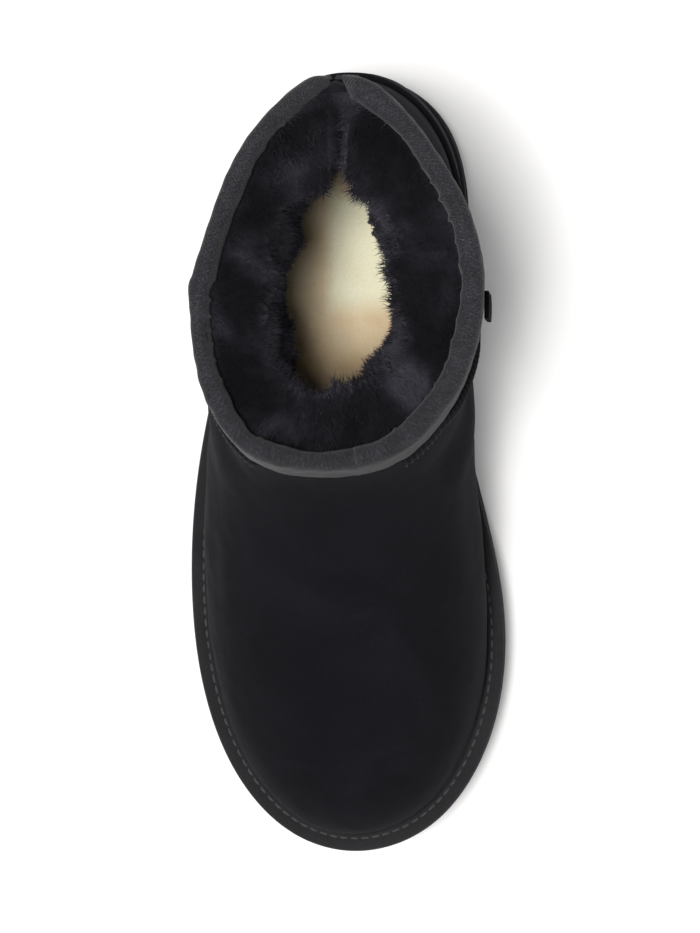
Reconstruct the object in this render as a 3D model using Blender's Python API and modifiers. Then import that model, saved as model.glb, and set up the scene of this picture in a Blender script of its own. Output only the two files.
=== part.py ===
"""Sheepskin ankle boot for the right foot.

A low suede boot with a deep fleece lining, a bound collar and a moulded sole.
Metres, +Z up. The toe points to -Y and the inner side of the foot is +X.
The origin lies on the floor, under the middle of the sole's box.
"""
import math

import bmesh
import bpy
import numpy as np

# Sizes of the sole
SOLE_LENGTH = 0.271
BALL_WIDTH = 0.111
HEEL_THICKNESS = 0.026
FOREFOOT_THICKNESS = 0.0175
TOE_SPRING = 0.0085
ARCH_RISE = 0.0045
HEEL_BEVEL = 0.0025
LUG_DEPTH = 0.003
LUG_GROOVE = 0.004
LUG_PITCH = 0.0125
LUG_CHANNEL = 0.005
SIDE_GROOVE = 0.0014

# Sizes of the welt
WELT_THICKNESS = 0.0024
FOREFOOT_RIM = 0.0068
HEEL_RIM = 0.0052
WELT_SETBACK = 0.0004
WELT_CLEARANCE = 0.0014

# Sizes of the upper
UPPER_WALL = 0.0022
COLLAR_WIDTH = 0.0886
COLLAR_LENGTH = 0.1188
COLLAR_SIDE_SHIFT = 0.0047
COLLAR_BACK_SHIFT = 0.0572
COLLAR_FRONT_HEIGHT = 0.1285
COLLAR_BACK_HEIGHT = 0.1375
NOTCH_DEPTH = 0.007
NOTCH_WIDTH = 0.0055
MERIDIAN_LEAN = 0.085

# Sizes of what is inside
INSOLE_THICKNESS = 0.0045
LINING_GAP = 0.0007
LINING_HEM = 0.0011
FOOT_PILE = 0.0080
SHAFT_PILE = 0.0230
LOCK_HEIGHT = 0.0022
SHAFT_CORE = 0.0380

# Sizes of the trim
BINDING_TAPE = 0.0009
BINDING_OUTER_LEG = 0.0110
BINDING_INNER_LEG = 0.0055
OUTER_END_CURL = 0.0034
INNER_END_CURL = 0.0008
BINDING_EASE = 0.0004
BINDING_PARTING = 0.0036
COUNTER_THICKNESS = 0.0016
COUNTER_HEIGHT = 0.066
COUNTER_REACH = 0.058
TAB_THICKNESS = 0.0024
TAB_WIDTH = 0.0070
SEAM_THICKNESS = 0.0022
SEAM_WIDTH = 0.0052
TAG_WIDTH = 0.0085
TAG_DROP = 0.0150
TAG_THICKNESS = 0.0014

# Clearance between pieces that touch
GAP = 0.0003

# Points around every ring, from the toe along the inner side to the heel and back
HALF_STATIONS = 27

# The sole's outline. along: share of the length, toe at -0.5. across: share of the ball width
SOLE_OUTLINE = (
    ("toe tip", -0.500, 0.036),
    ("inner toe", -0.469, 0.259),
    ("inner toe joint", -0.385, 0.422),
    ("inner ball", -0.217, 0.500),
    ("behind inner ball", -0.091, 0.454),
    ("inner waist", 0.056, 0.372),
    ("inner waist back", 0.187, 0.358),
    ("inner heel", 0.336, 0.384),
    ("inner heel corner", 0.4545, 0.285),
    ("heel tip", 0.500, 0.040),
    ("outer heel corner", 0.4545, -0.212),
    ("outer heel", 0.336, -0.325),
    ("outer waist", 0.168, -0.388),
    ("behind outer ball", 0.019, -0.464),
    ("outer ball", -0.149, -0.500),
    ("outer toe joint", -0.300, -0.456),
    ("outer toe", -0.427, -0.310),
    ("outer toe tip", -0.482, -0.152),
)

# Side of the sole. height: share from the ground to the top edge. inset: share of the groove depth
SOLE_SIDE = (
    ("tread edge", 0.00, 1.80),
    ("lower bulge", 0.16, 0.25),
    ("side wall", 0.34, 0.00),
    ("below the groove", 0.56, 0.00),
    ("groove", 0.60, 1.00),
    ("groove top", 0.70, 1.00),
    ("rim step", 0.74, 0.15),
    ("top edge", 1.00, 0.00),
)

# Walls of the upper, as cubic curves from the sole up to the collar.
# around: share around the foot. rise and drop: the two handles' heights as shares of the
# collar height. belly and ankle: how far each handle stands out, as shares of the ball width
UPPER_WALLS = (
    ("toe", 0.00, 0.39, 0.050, 0.52, 0.060),
    ("inner ball", 0.14, 0.29, 0.030, 0.46, 0.050),
    ("inner waist", 0.26, 0.26, 0.120, 0.38, -0.020),
    ("inner heel", 0.37, 0.24, 0.060, 0.36, -0.030),
    ("heel", 0.50, 0.25, 0.040, 0.36, 0.030),
    ("outer heel", 0.63, 0.24, 0.050, 0.36, -0.020),
    ("outer waist", 0.74, 0.26, 0.040, 0.38, -0.030),
    ("outer ball", 0.86, 0.29, 0.024, 0.46, 0.040),
)

# Fields of lugs on the tread, as shares of the sole's length. start and end: the crossing grooves.
# channel and stop: the channel that parts the lugs in two rows
LUG_FIELDS = (
    ("forefoot", -0.42, -0.10, -0.33, -0.10),
    ("heel", 0.20, 0.44, 0.20, 0.40),
)

# How far the collar leaves its ellipse. around: share from the front. push: share of ball width
COLLAR_FORM = (
    ("front", 0.000, 0.002),
    ("inner front", 0.075, 0.006),
    ("inner side", 0.170, 0.006),
    ("inner ankle", 0.250, 0.000),
    ("inner back", 0.333, -0.033),
    ("inner back corner", 0.375, -0.040),
    ("beside the notch", 0.430, -0.023),
    ("notch", 0.500, 0.002),
    ("beside the notch, outer", 0.570, -0.031),
    ("outer back corner", 0.625, -0.043),
    ("outer back", 0.694, -0.042),
    ("outer ankle", 0.750, -0.010),
    ("outer side", 0.806, 0.023),
    ("outer front corner", 0.861, 0.047),
    ("outer front", 0.917, 0.047),
    ("front, outer", 0.958, 0.021),
)

# Depth of the fleece around the shaft. around: share from the front.
# above and below: shares of SHAFT_PILE under the collar and over the footbed
PILE_DEPTH = (
    ("front", 0.00, 1.22, 0.96),
    ("inner front", 0.10, 1.08, 0.91),
    ("inner side", 0.20, 1.00, 0.74),
    ("inner back", 0.40, 1.02, 1.05),
    ("back", 0.50, 1.04, 0.92),
    ("outer back", 0.62, 0.96, 0.80),
    ("outer side", 0.74, 0.82, 0.50),
    ("outer front", 0.88, 1.00, 0.95),
)

# Rows of the upper, as shares of the way from the sole to the collar
WALL_SHARES = (
    0.0, 0.055, 0.11, 0.175, 0.245, 0.32, 0.40, 0.48,
    0.56, 0.64, 0.72, 0.80, 0.865, 0.92, 0.96, 1.0,
)

# Way up the wall at which the overlays start, clear of the welt
OVERLAY_FOOT_SHARE = 0.034

# Line of the side seams. back and up: shares of the half length and of the collar height
SIDE_SEAM = (
    ("under the binding", -0.015, 0.885),
    ("front of the ankle", 0.10, 0.835),
    ("ankle", 0.26, 0.735),
    ("below the ankle", 0.40, 0.560),
    ("beside the counter", 0.475, 0.380),
    ("at the sole", 0.500, 0.150),
)

# Place of the tag, as a share around the foot
TAG_PLACE = 0.306

# Shape of the tag. drop: share of TAG_DROP below its root. away: thicknesses off the binding
TAG_SHAPE = (
    ("under the binding", -0.2, 0.0),
    ("below the binding", 0.3, 0.1),
    ("free end", 1.0, 0.5),
)


def periodic_spline(knots, values, shares):
    """Cubic curve through the values, closed over the shares 0 to 1, read at the given shares."""
    knots = np.asarray(knots, float)
    values = np.asarray(values, float)
    count = len(knots)
    ends = np.append(knots, knots[0] + 1.0)
    steps = np.diff(ends)
    shape = (-1,) + (1,) * (values.ndim - 1)
    slopes = (np.roll(values, -1, axis=0) - values) / steps.reshape(shape)
    matrix = np.zeros((count, count))
    for row in range(count):
        matrix[row, row - 1] = steps[row - 1]
        matrix[row, row] = 2.0 * (steps[row - 1] + steps[row])
        matrix[row, (row + 1) % count] = steps[row]
    bends = np.linalg.solve(matrix, 6.0 * (slopes - np.roll(slopes, 1, axis=0)))
    shares = np.mod(np.asarray(shares, float) - knots[0], 1.0) + knots[0]
    piece = np.clip(np.searchsorted(ends, shares, side="right") - 1, 0, count - 1)
    after = (piece + 1) % count
    step = steps[piece].reshape(shape)
    done = (shares - ends[piece]).reshape(shape)
    left = step - done
    curve = (bends[piece] * left ** 3 + bends[after] * done ** 3) / (6.0 * step)
    curve = curve + (values[piece] / step - bends[piece] * step / 6.0) * left
    return curve + (values[after] / step - bends[after] * step / 6.0) * done


def smooth_step(value, start, end):
    """Zero before start, one after end, and a smooth rise between them."""
    share = np.clip((np.asarray(value, float) - start) / (end - start), 0.0, 1.0)
    return share * share * (3.0 - 2.0 * share)


def column(table, index):
    """One column of a table, without the row names."""
    return np.array([row[index] for row in table], float)


def measured_outline():
    """Dense points of the sole's outline, with the share of its length at each, and its normals."""
    across = column(SOLE_OUTLINE, 2) * BALL_WIDTH
    corners = np.column_stack((across, column(SOLE_OUTLINE, 1) * SOLE_LENGTH))
    chords = np.linalg.norm(np.roll(corners, -1, axis=0) - corners, axis=1)
    knots = np.concatenate(([0.0], np.cumsum(chords)[:-1])) / chords.sum()
    dense = np.linspace(0.0, 1.0, 2881)
    points = periodic_spline(knots, corners, dense[:-1])
    low = points.min(axis=0)
    high = points.max(axis=0)
    size = np.array((BALL_WIDTH, SOLE_LENGTH))
    points = (points - (low + high) / 2.0) * size / (high - low)
    points = np.roll(points, -int(points[:, 1].argmin()), axis=0)
    points = np.vstack((points, points[:1]))
    lengths = np.concatenate(([0.0], np.cumsum(np.linalg.norm(np.diff(points, axis=0), axis=1))))
    tangents = np.roll(points[:-1], -1, axis=0) - np.roll(points[:-1], 1, axis=0)
    tangents = tangents / np.linalg.norm(tangents, axis=1, keepdims=True)
    normals = np.column_stack((tangents[:, 1], -tangents[:, 0]))
    return lengths / lengths[-1], points, np.vstack((normals, normals[:1]))


OUTLINE_SHARES, OUTLINE_POINTS, OUTLINE_NORMALS = measured_outline()


def outline(shares, inset=0.0):
    """Points of the sole's outline at the shares, moved inwards by the inset."""
    shares = np.mod(np.asarray(shares, float), 1.0)
    points = [np.interp(shares, OUTLINE_SHARES, OUTLINE_POINTS[:, axis]) for axis in (0, 1)]
    normals = [np.interp(shares, OUTLINE_SHARES, OUTLINE_NORMALS[:, axis]) for axis in (0, 1)]
    normals = np.stack(normals, axis=-1)
    normals = normals / np.linalg.norm(normals, axis=-1, keepdims=True)
    return np.stack(points, axis=-1) - normals * np.asarray(inset, float)[..., None], normals


def station_shares():
    """Shares around the outline whose inner and outer points lie at the same places along the foot."""
    turns = np.linspace(0.0, math.pi, HALF_STATIONS + 1)
    along = -np.cos(turns) * SOLE_LENGTH / 2.0
    heel = int(OUTLINE_POINTS[:, 1].argmax())
    inner = np.interp(along, OUTLINE_POINTS[:heel + 1, 1], OUTLINE_SHARES[:heel + 1])
    outer_along = OUTLINE_POINTS[heel:, 1][::-1]
    outer = np.interp(along, outer_along, OUTLINE_SHARES[heel:][::-1])
    return np.concatenate((inner, outer[::-1][1:-1]))


RING = station_shares()


def toe_lift(along):
    """Height that the toe spring adds at a place along the foot."""
    start = 0.17 * SOLE_LENGTH
    return TOE_SPRING * np.clip((-along - start) / (SOLE_LENGTH / 2.0 - start), 0.0, 1.0) ** 2


def sole_bottom(along):
    """Height of the tread: flat at heel and forefoot, raised at the arch, the toe and the heel edge."""
    arch_start = -0.06 * SOLE_LENGTH
    arch_end = 0.18 * SOLE_LENGTH
    span = np.clip((along - arch_start) / (arch_end - arch_start), 0.0, 1.0)
    arch = ARCH_RISE * np.sin(math.pi * span) ** 2
    bevel_start = 0.42 * SOLE_LENGTH
    bevel = np.clip((along - bevel_start) / (SOLE_LENGTH / 2.0 - bevel_start), 0.0, 1.0) ** 2
    return toe_lift(along) + arch + HEEL_BEVEL * bevel


def sole_top(along):
    """Height of the sole's upper face, where the welt, the upper and the insole sit."""
    wedge = smooth_step(along, -0.22 * SOLE_LENGTH, 0.26 * SOLE_LENGTH)
    return FOREFOOT_THICKNESS + (HEEL_THICKNESS - FOREFOOT_THICKNESS) * wedge + toe_lift(along)


def rim(shares):
    """Width of the rim between the sole's edge and the foot of the upper."""
    along = outline(shares)[0][..., 1]
    back = smooth_step(along, 0.0, 0.3 * SOLE_LENGTH)
    return FOREFOOT_RIM + (HEEL_RIM - FOREFOOT_RIM) * back


def collar_turn(shares):
    """Share around the collar that a share around the sole rises to."""
    return shares - MERIDIAN_LEAN * np.sin(2.0 * math.pi * shares)


def collar(shares):
    """Points of the collar's outer edge above the shares around the sole, and its outward directions."""
    turn = collar_turn(np.asarray(shares, float))
    angle = 2.0 * math.pi * turn
    outward = np.stack((np.sin(angle) * COLLAR_LENGTH, -np.cos(angle) * COLLAR_WIDTH), axis=-1)
    outward = outward / np.linalg.norm(outward, axis=-1, keepdims=True)
    push = periodic_spline(column(COLLAR_FORM, 1), column(COLLAR_FORM, 2), turn) * BALL_WIDTH
    across = COLLAR_SIDE_SHIFT + np.sin(angle) * COLLAR_WIDTH / 2.0 + outward[..., 0] * push
    along = COLLAR_BACK_SHIFT - np.cos(angle) * COLLAR_LENGTH / 2.0 + outward[..., 1] * push
    back = (1.0 - np.cos(angle)) / 2.0
    height = COLLAR_FRONT_HEIGHT + (COLLAR_BACK_HEIGHT - COLLAR_FRONT_HEIGHT) * back
    notch = np.exp(-((turn - 0.5) * math.pi * COLLAR_WIDTH / NOTCH_WIDTH) ** 2)
    return np.stack((across, along, height - NOTCH_DEPTH * notch), axis=-1), outward


def upper_surface(shares, ways):
    """Outer face of the upper: a row of points for each way up, a column for each share."""
    shares = np.asarray(shares, float)
    ways = np.asarray(ways, float)
    ways = ways[:, None, None] if ways.ndim == 1 else ways[..., None]
    foot, foot_normals = outline(shares, rim(shares))
    foot = np.column_stack((foot, sole_top(foot[:, 1]) + GAP))
    top, top_normals = collar(shares)
    knots = column(UPPER_WALLS, 1)
    rise, belly, drop, ankle = (
        periodic_spline(knots, column(UPPER_WALLS, index), shares) for index in (2, 3, 4, 5)
    )
    height = COLLAR_BACK_HEIGHT
    low = foot + np.column_stack((foot_normals * (belly * BALL_WIDTH)[:, None], rise * height))
    high = top + np.column_stack((top_normals * (ankle * BALL_WIDTH)[:, None], -drop * height))
    left = 1.0 - ways
    return left ** 3 * foot + 3.0 * left ** 2 * ways * low + 3.0 * left * ways ** 2 * high + ways ** 3 * top


def upper_normals(shares, ways):
    """Directions straight out of the upper's outer face, on the same grid."""
    small = 1e-4
    ways = np.asarray(ways, float)
    around = upper_surface(shares + small, ways) - upper_surface(shares - small, ways)
    up = upper_surface(shares, ways + small) - upper_surface(shares, ways - small)
    normals = np.cross(around, up)
    return normals / np.linalg.norm(normals, axis=-1, keepdims=True)


def upper_layer(depth, ways=WALL_SHARES, shares=RING):
    """A grid at a distance out of the upper's outer face; a negative depth lies inside it."""
    normals = upper_normals(shares, ways)
    return upper_surface(shares, ways) + normals * np.asarray(depth, float)[..., None]


def grid_faces(rows, columns, first=0, flip=False):
    """Triangles of a grid whose columns close on themselves, all split along the same diagonal."""
    faces = []
    for row in range(rows - 1):
        for place in range(columns):
            after = (place + 1) % columns
            low = first + row * columns
            high = low + columns
            pair = ((low + place, low + after, high + after), (low + place, high + after, high + place))
            faces.extend(face[::-1] if flip else face for face in pair)
    return faces


def make_piece(name, points, faces, finish, collection, recalculate=True):
    """Mesh object of the given faces, smooth except at sharp edges."""
    mesh = bpy.data.meshes.new(name)
    mesh.from_pydata([tuple(point) for point in np.asarray(points, float)], [], faces)
    work = bmesh.new()
    work.from_mesh(mesh)
    if recalculate:
        bmesh.ops.recalc_face_normals(work, faces=work.faces)
    work.to_mesh(mesh)
    work.free()
    mesh.shade_smooth()
    mesh.set_sharp_from_angle(angle=math.radians(40.0))
    piece = bpy.data.objects.new(name, mesh)
    if finish is not None:
        mesh.materials.append(finish)
    collection.objects.link(piece)
    return piece


def shell(name, outer, inner, finish, collection):
    """Closed wall between an outer and an inner grid of the same size, open at the top and below."""
    rows, columns = outer.shape[:2]
    size = rows * columns
    faces = grid_faces(rows, columns) + grid_faces(rows, columns, size, flip=True)
    for place in range(columns):
        after = (place + 1) % columns
        faces.append((after, place, size + place, size + after))
        top = (rows - 1) * columns
        faces.append((top + place, top + after, size + top + after, size + top + place))
    points = np.vstack((outer.reshape(-1, 3), inner.reshape(-1, 3)))
    return make_piece(name, points, faces, finish, collection)


def ring_stack(name, rings, finish, collection):
    """Closed solid through rings of RING points, capped by faces from side to side."""
    rows = len(rings)
    columns = rings[0].shape[0]
    faces = grid_faces(rows, columns)
    for first, flip in ((0, True), ((rows - 1) * columns, False)):
        for place in range(columns // 2):
            corners = [place, place + 1, (columns - place - 1) % columns, (columns - place) % columns]
            corners = list(dict.fromkeys(corners))
            face = [first + corner for corner in corners]
            faces.append(face[::-1] if flip else face)
    return make_piece(name, np.vstack(rings), faces, finish, collection)


def sweep(name, sections, finish, collection):
    """Closed solid through sections of equal point counts, with a cap at each end."""
    count, corners = sections.shape[:2]
    faces = grid_faces(count, corners)
    faces.append(tuple(range(corners))[::-1])
    faces.append(tuple(range((count - 1) * corners, count * corners)))
    return make_piece(name, sections.reshape(-1, 3), faces, finish, collection)


def flat_prism(name, outline_points, across, collection):
    """Cutter: an outline in the side view, given as along and up, carried from side to side."""
    low, high = across
    count = len(outline_points)
    points = [(low, along, up) for along, up in outline_points]
    points += [(high, along, up) for along, up in outline_points]
    faces = [tuple(range(count)), tuple(range(2 * count - 1, count - 1, -1))]
    for place in range(count):
        after = (place + 1) % count
        faces.append((place, after, count + after, count + place))
    return as_cutter(make_piece(name, points, faces, None, collection))


def as_cutter(piece):
    """Hidden from the render and drawn as wire."""
    piece.hide_render = True
    piece.display_type = "WIRE"
    return piece


def cut(piece, cutter, operation):
    """Boolean modifier with the exact solver."""
    modifier = piece.modifiers.new(cutter.name, "BOOLEAN")
    modifier.operation = operation
    modifier.object = cutter
    modifier.solver = "EXACT"


def finish_of(name, colour, roughness, sheen=0.0):
    """Principled material of one piece."""
    material = bpy.data.materials.new(name)
    material.use_nodes = True
    shader = material.node_tree.nodes["Principled BSDF"]
    shader.inputs["Base Color"].default_value = (*colour, 1.0)
    shader.inputs["Roughness"].default_value = roughness
    shader.inputs["Metallic"].default_value = 0.0
    shader.inputs["Sheen Weight"].default_value = sheen
    material.diffuse_color = (*colour, 1.0)
    return material


def add_block(work, low, high):
    """Box between two corners, added to a bmesh."""
    made = bmesh.ops.create_cube(work, size=1.0)
    for vertex in made["verts"]:
        for axis in range(3):
            vertex.co[axis] = low[axis] if vertex.co[axis] < 0.0 else high[axis]


def block_cutter(name, blocks, collection):
    """Cutter made of boxes, each given by two corners."""
    work = bmesh.new()
    for low, high in blocks:
        add_block(work, low, high)
    mesh = bpy.data.meshes.new(name)
    work.to_mesh(mesh)
    work.free()
    piece = bpy.data.objects.new(name, mesh)
    collection.objects.link(piece)
    return as_cutter(piece)


def lug_grooves(collection):
    """Cutter of the grooves that cross the tread under the forefoot and the heel."""
    blocks = []
    for _, start, end, _, _ in LUG_FIELDS:
        length = (end - start) * SOLE_LENGTH
        count = int(length // LUG_PITCH)
        first = start * SOLE_LENGTH + (length - count * LUG_PITCH) / 2.0
        for number in range(count + 1):
            along = first + number * LUG_PITCH
            top = float(sole_bottom(np.array(along))) + LUG_DEPTH
            low = (-BALL_WIDTH, along - LUG_GROOVE / 2.0, -LUG_DEPTH)
            blocks.append((low, (BALL_WIDTH, along + LUG_GROOVE / 2.0, top)))
    return block_cutter("lug_grooves", blocks, collection)


def lug_channel(field, collection):
    """Cutter of the channel that runs along one field of lugs."""
    name, _, _, channel, stop = field
    middle = float(np.mean(outline(RING)[0][:, 0]))
    low = (middle - LUG_CHANNEL / 2.0, channel * SOLE_LENGTH, -LUG_DEPTH)
    high = (middle + LUG_CHANNEL / 2.0, stop * SOLE_LENGTH, LUG_DEPTH)
    return block_cutter(name + "_channel", [(low, high)], collection)


def build_outsole(parts, cutters):
    """Moulded sole: rings up the side wall with its groove, flat tread with lugs."""
    rings = []
    for _, share, inset in SOLE_SIDE:
        plan = outline(RING, np.full(len(RING), inset * SIDE_GROOVE))[0]
        low = sole_bottom(plan[:, 1])
        rings.append(np.column_stack((plan, low + share * (sole_top(plan[:, 1]) - low))))
    sole = ring_stack("outsole", rings, finish_of("sole_rubber", (0.016, 0.016, 0.018), 0.62), parts)
    cut(sole, lug_grooves(cutters), "DIFFERENCE")
    for field in LUG_FIELDS:
        cut(sole, lug_channel(field, cutters), "DIFFERENCE")


def build_welt(parts):
    """Flat flange between the sole's edge and the foot of the upper."""
    edge = rim(RING)
    outer = outline(RING, np.full(len(RING), WELT_SETBACK))[0]
    inner = outline(RING, edge - WELT_CLEARANCE)[0]
    low = GAP
    high = GAP + WELT_THICKNESS
    outer_grid, inner_grid = (
        np.stack([np.column_stack((plan, sole_top(plan[:, 1]) + level)) for level in (low, high)])
        for plan in (outer, inner)
    )
    suede = finish_of("welt_suede", (0.030, 0.030, 0.035), 0.85, 0.4)
    shell("welt", outer_grid, inner_grid, suede, parts)


def build_upper(parts):
    """Hollow suede shell from the foot of the wall to the collar."""
    surface = upper_layer(np.zeros((len(WALL_SHARES), len(RING))))
    points = surface.reshape(-1, 3)
    faces = grid_faces(len(WALL_SHARES), len(RING))
    suede = finish_of("upper_suede", (0.012, 0.012, 0.016), 0.92, 0.5)
    piece = make_piece("upper", points, faces, suede, parts, recalculate=False)
    wall = piece.modifiers.new("wall", "SOLIDIFY")
    wall.thickness = UPPER_WALL
    wall.offset = -1.0
    wall.use_even_offset = True


def insole_top(along):
    """Height of the footbed's face."""
    return sole_top(along) + GAP + INSOLE_THICKNESS


def build_insole(parts):
    """Footbed inside the foot of the upper, with a rounded upper edge."""
    inset = rim(RING) + UPPER_WALL + WELT_CLEARANCE
    rings = []
    for level, extra in ((0.0, 0.0), (0.7, 0.0), (1.0, 0.3)):
        plan = outline(RING, inset + extra * INSOLE_THICKNESS)[0]
        rings.append(np.column_stack((plan, sole_top(plan[:, 1]) + GAP + level * INSOLE_THICKNESS)))
    ring_stack("insole", rings, finish_of("insole_felt", (0.78, 0.70, 0.55), 0.9, 0.3), parts)


def hem_share(ways):
    """One where the pile is clipped short under the binding, zero below it."""
    return smooth_step(ways, WALL_SHARES[-3], WALL_SHARES[-2])


def shaft_share(points, ways):
    """One where the deep pile of the shaft lines the wall, zero around the foot."""
    return np.maximum(smooth_step(ways, 0.60, 0.80), smooth_step(points[..., 1], 0.0, 0.12 * SOLE_LENGTH))


def pile_depth(points, ways):
    """Depth of the fleece behind points: deep around the shaft, thin around the foot, a hem on top."""
    across = points[..., 0] - COLLAR_SIDE_SHIFT
    along = points[..., 1] - COLLAR_BACK_SHIFT
    turn = np.mod(np.arctan2(across / COLLAR_WIDTH, -along / COLLAR_LENGTH) / (2.0 * math.pi), 1.0)
    knots = column(PILE_DEPTH, 1)
    above, below = (
        periodic_spline(knots, column(PILE_DEPTH, index), turn.ravel()) for index in (2, 3)
    )
    height = smooth_step(points[..., 2], HEEL_THICKNESS, 0.75 * COLLAR_BACK_HEIGHT)
    deep = SHAFT_PILE * (below.reshape(turn.shape) * (1.0 - height) + above.reshape(turn.shape) * height)
    depth = FOOT_PILE + (deep - FOOT_PILE) * shaft_share(points, ways)
    return depth + (LINING_HEM - depth) * hem_share(ways)


def pile_direction(points, normals, ways):
    """Directions in which the pile stands: square to the foot's wall, towards the core of the shaft."""
    core = np.zeros_like(points)
    core[..., 0] = COLLAR_SIDE_SHIFT
    half = (COLLAR_LENGTH - 2.0 * SHAFT_CORE) / 2.0
    core[..., 1] = np.clip(points[..., 1], COLLAR_BACK_SHIFT - half, COLLAR_BACK_SHIFT + half)
    core[..., 2] = points[..., 2]
    inward = core - points
    inward = inward / np.linalg.norm(inward, axis=-1, keepdims=True)
    share = (shaft_share(points, ways) * (1.0 - hem_share(ways)))[..., None]
    direction = inward * share - normals * (1.0 - share)
    return direction / np.linalg.norm(direction, axis=-1, keepdims=True)


def build_lining(parts):
    """Fleece between the upper and the foot, with raised locks all over its inner face."""
    rows = np.array(WALL_SHARES[1:])
    ways = rows[:, None]
    outer_depth = np.full((len(rows), len(RING)), UPPER_WALL + LINING_GAP)
    outer_depth[0] += GAP
    outer = upper_layer(-outer_depth, rows)
    rows_up = np.arange(len(rows))[:, None]
    places = np.arange(len(RING))[None, :]
    locks = np.where((rows_up + places) % 2 == 0, 1.0, -0.5) * LOCK_HEIGHT
    locks = locks * (1.0 - hem_share(ways))
    depth = pile_depth(outer, ways) + locks
    inner = outer + pile_direction(outer, upper_normals(RING, rows), ways) * depth[..., None]
    outer[0, :, 2] = insole_top(outer[0, :, 1]) + GAP
    inner[0, :, 2] = insole_top(inner[0, :, 1]) + GAP
    fleece = finish_of("fleece", (0.010, 0.010, 0.014), 1.0, 0.6)
    shell("fleece_lining", outer, inner, fleece, parts)


def binding_section():
    """The binding's section: distances out of the upper, and up from the collar's edge."""
    inside = UPPER_WALL + LINING_GAP + LINING_HEM + BINDING_EASE
    ease = BINDING_EASE
    tape = BINDING_TAPE
    return np.array((
        (ease, -BINDING_OUTER_LEG),
        (ease + tape, -BINDING_OUTER_LEG),
        (ease + 1.1 * tape, -0.3 * BINDING_OUTER_LEG),
        (ease, ease + 0.9 * tape),
        (-0.35 * inside, ease + 1.7 * tape),
        (-0.70 * inside, ease + 1.6 * tape),
        (-inside - 0.2 * tape, ease + 0.6 * tape),
        (-inside - 1.1 * tape, -0.4 * BINDING_INNER_LEG),
        (-inside - tape, -BINDING_INNER_LEG),
        (-inside, -BINDING_INNER_LEG),
        (-inside, ease),
        (ease, ease),
    ))


def part_ends(sections):
    """Sections whose two ends, both at the notch, are drawn back to leave the parting between them."""
    parted = sections.copy()
    for end, beside in ((0, 1), (-1, -2)):
        reach = np.linalg.norm((sections[beside] - sections[end])[:, :2], axis=-1).max()
        parted[end] += (sections[beside] - sections[end]) * BINDING_PARTING / 2.0 / reach
    return parted


def build_binding(parts):
    """Woven tape folded over the collar's edge, with two ends beside the back notch."""
    middle = len(RING) // 2
    order = [(middle + number) % len(RING) for number in range(len(RING) + 1)]
    shares = RING[order]
    nearly = 0.999
    top = upper_surface(shares, (1.0,))[0]
    upward = top - upper_surface(shares, (nearly,))[0]
    climb = np.linalg.norm(upward, axis=1) / (1.0 - nearly)
    upward = upward / np.linalg.norm(upward, axis=1, keepdims=True)
    section = binding_section()
    places = np.arange(len(shares))
    curl = OUTER_END_CURL * 0.4 ** places + INNER_END_CURL * 0.4 ** places[::-1]
    rises = section[:, 1][:, None] + curl
    ways = 1.0 + np.minimum(rises, 0.0) / climb
    points = upper_surface(shares, ways) + upper_normals(shares, ways) * section[:, 0][:, None, None]
    points = points + upward * np.maximum(rises, 0.0)[..., None]
    sections = part_ends(points.transpose(1, 0, 2))
    sweep("collar_binding", sections, finish_of("binding_tape", (0.035, 0.035, 0.042), 0.8), parts)


def overlay_slab(name, thickness, finish, parts):
    """Layer over the upper from above the welt to below the binding, from which an overlay is cut."""
    ways = (OVERLAY_FOOT_SHARE,) + WALL_SHARES[1:-2]
    flat = np.zeros((len(ways), len(RING)))
    inner = upper_layer(flat + GAP, ways)
    outer = upper_layer(flat + GAP + thickness, ways)
    return shell(name, outer, inner, finish, parts)


def build_counter(parts, cutters):
    """Overlay around the heel, highest at the back seam and rounded down to the sole in front."""
    back = SOLE_LENGTH
    foot = HEEL_THICKNESS
    front = SOLE_LENGTH / 2.0 - COUNTER_REACH
    points = [(back, 0.0), (front, 0.0)]
    for number in range(9):
        turn = number / 8.0 * math.pi / 2.0
        along = front + (SOLE_LENGTH / 2.0 - front) * (1.0 - math.cos(turn))
        points.append((along, foot + (COUNTER_HEIGHT - foot) * math.sin(turn) ** 0.8))
    points.append((back, COUNTER_HEIGHT))
    suede = finish_of("counter_suede", (0.014, 0.014, 0.018), 0.9, 0.5)
    slab = overlay_slab("heel_counter", COUNTER_THICKNESS, suede, parts)
    cut(slab, flat_prism("counter_outline", points, (-BALL_WIDTH, BALL_WIDTH), cutters), "INTERSECT")


def build_tab(parts, cutters):
    """Raised strip over the back seam, from the counter up to the binding."""
    middle = float(collar(np.array((0.5,)))[0][0, 0])
    low = (middle - TAB_WIDTH / 2.0, COLLAR_BACK_SHIFT, COUNTER_HEIGHT + GAP)
    top = COLLAR_BACK_HEIGHT - NOTCH_DEPTH - BINDING_OUTER_LEG - LINING_GAP
    suede = finish_of("tab_suede", (0.014, 0.014, 0.018), 0.9, 0.5)
    slab = overlay_slab("heel_tab", TAB_THICKNESS, suede, parts)
    block = (low, (middle + TAB_WIDTH / 2.0, SOLE_LENGTH, top))
    cut(slab, block_cutter("tab_outline", [block], cutters), "INTERSECT")


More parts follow.
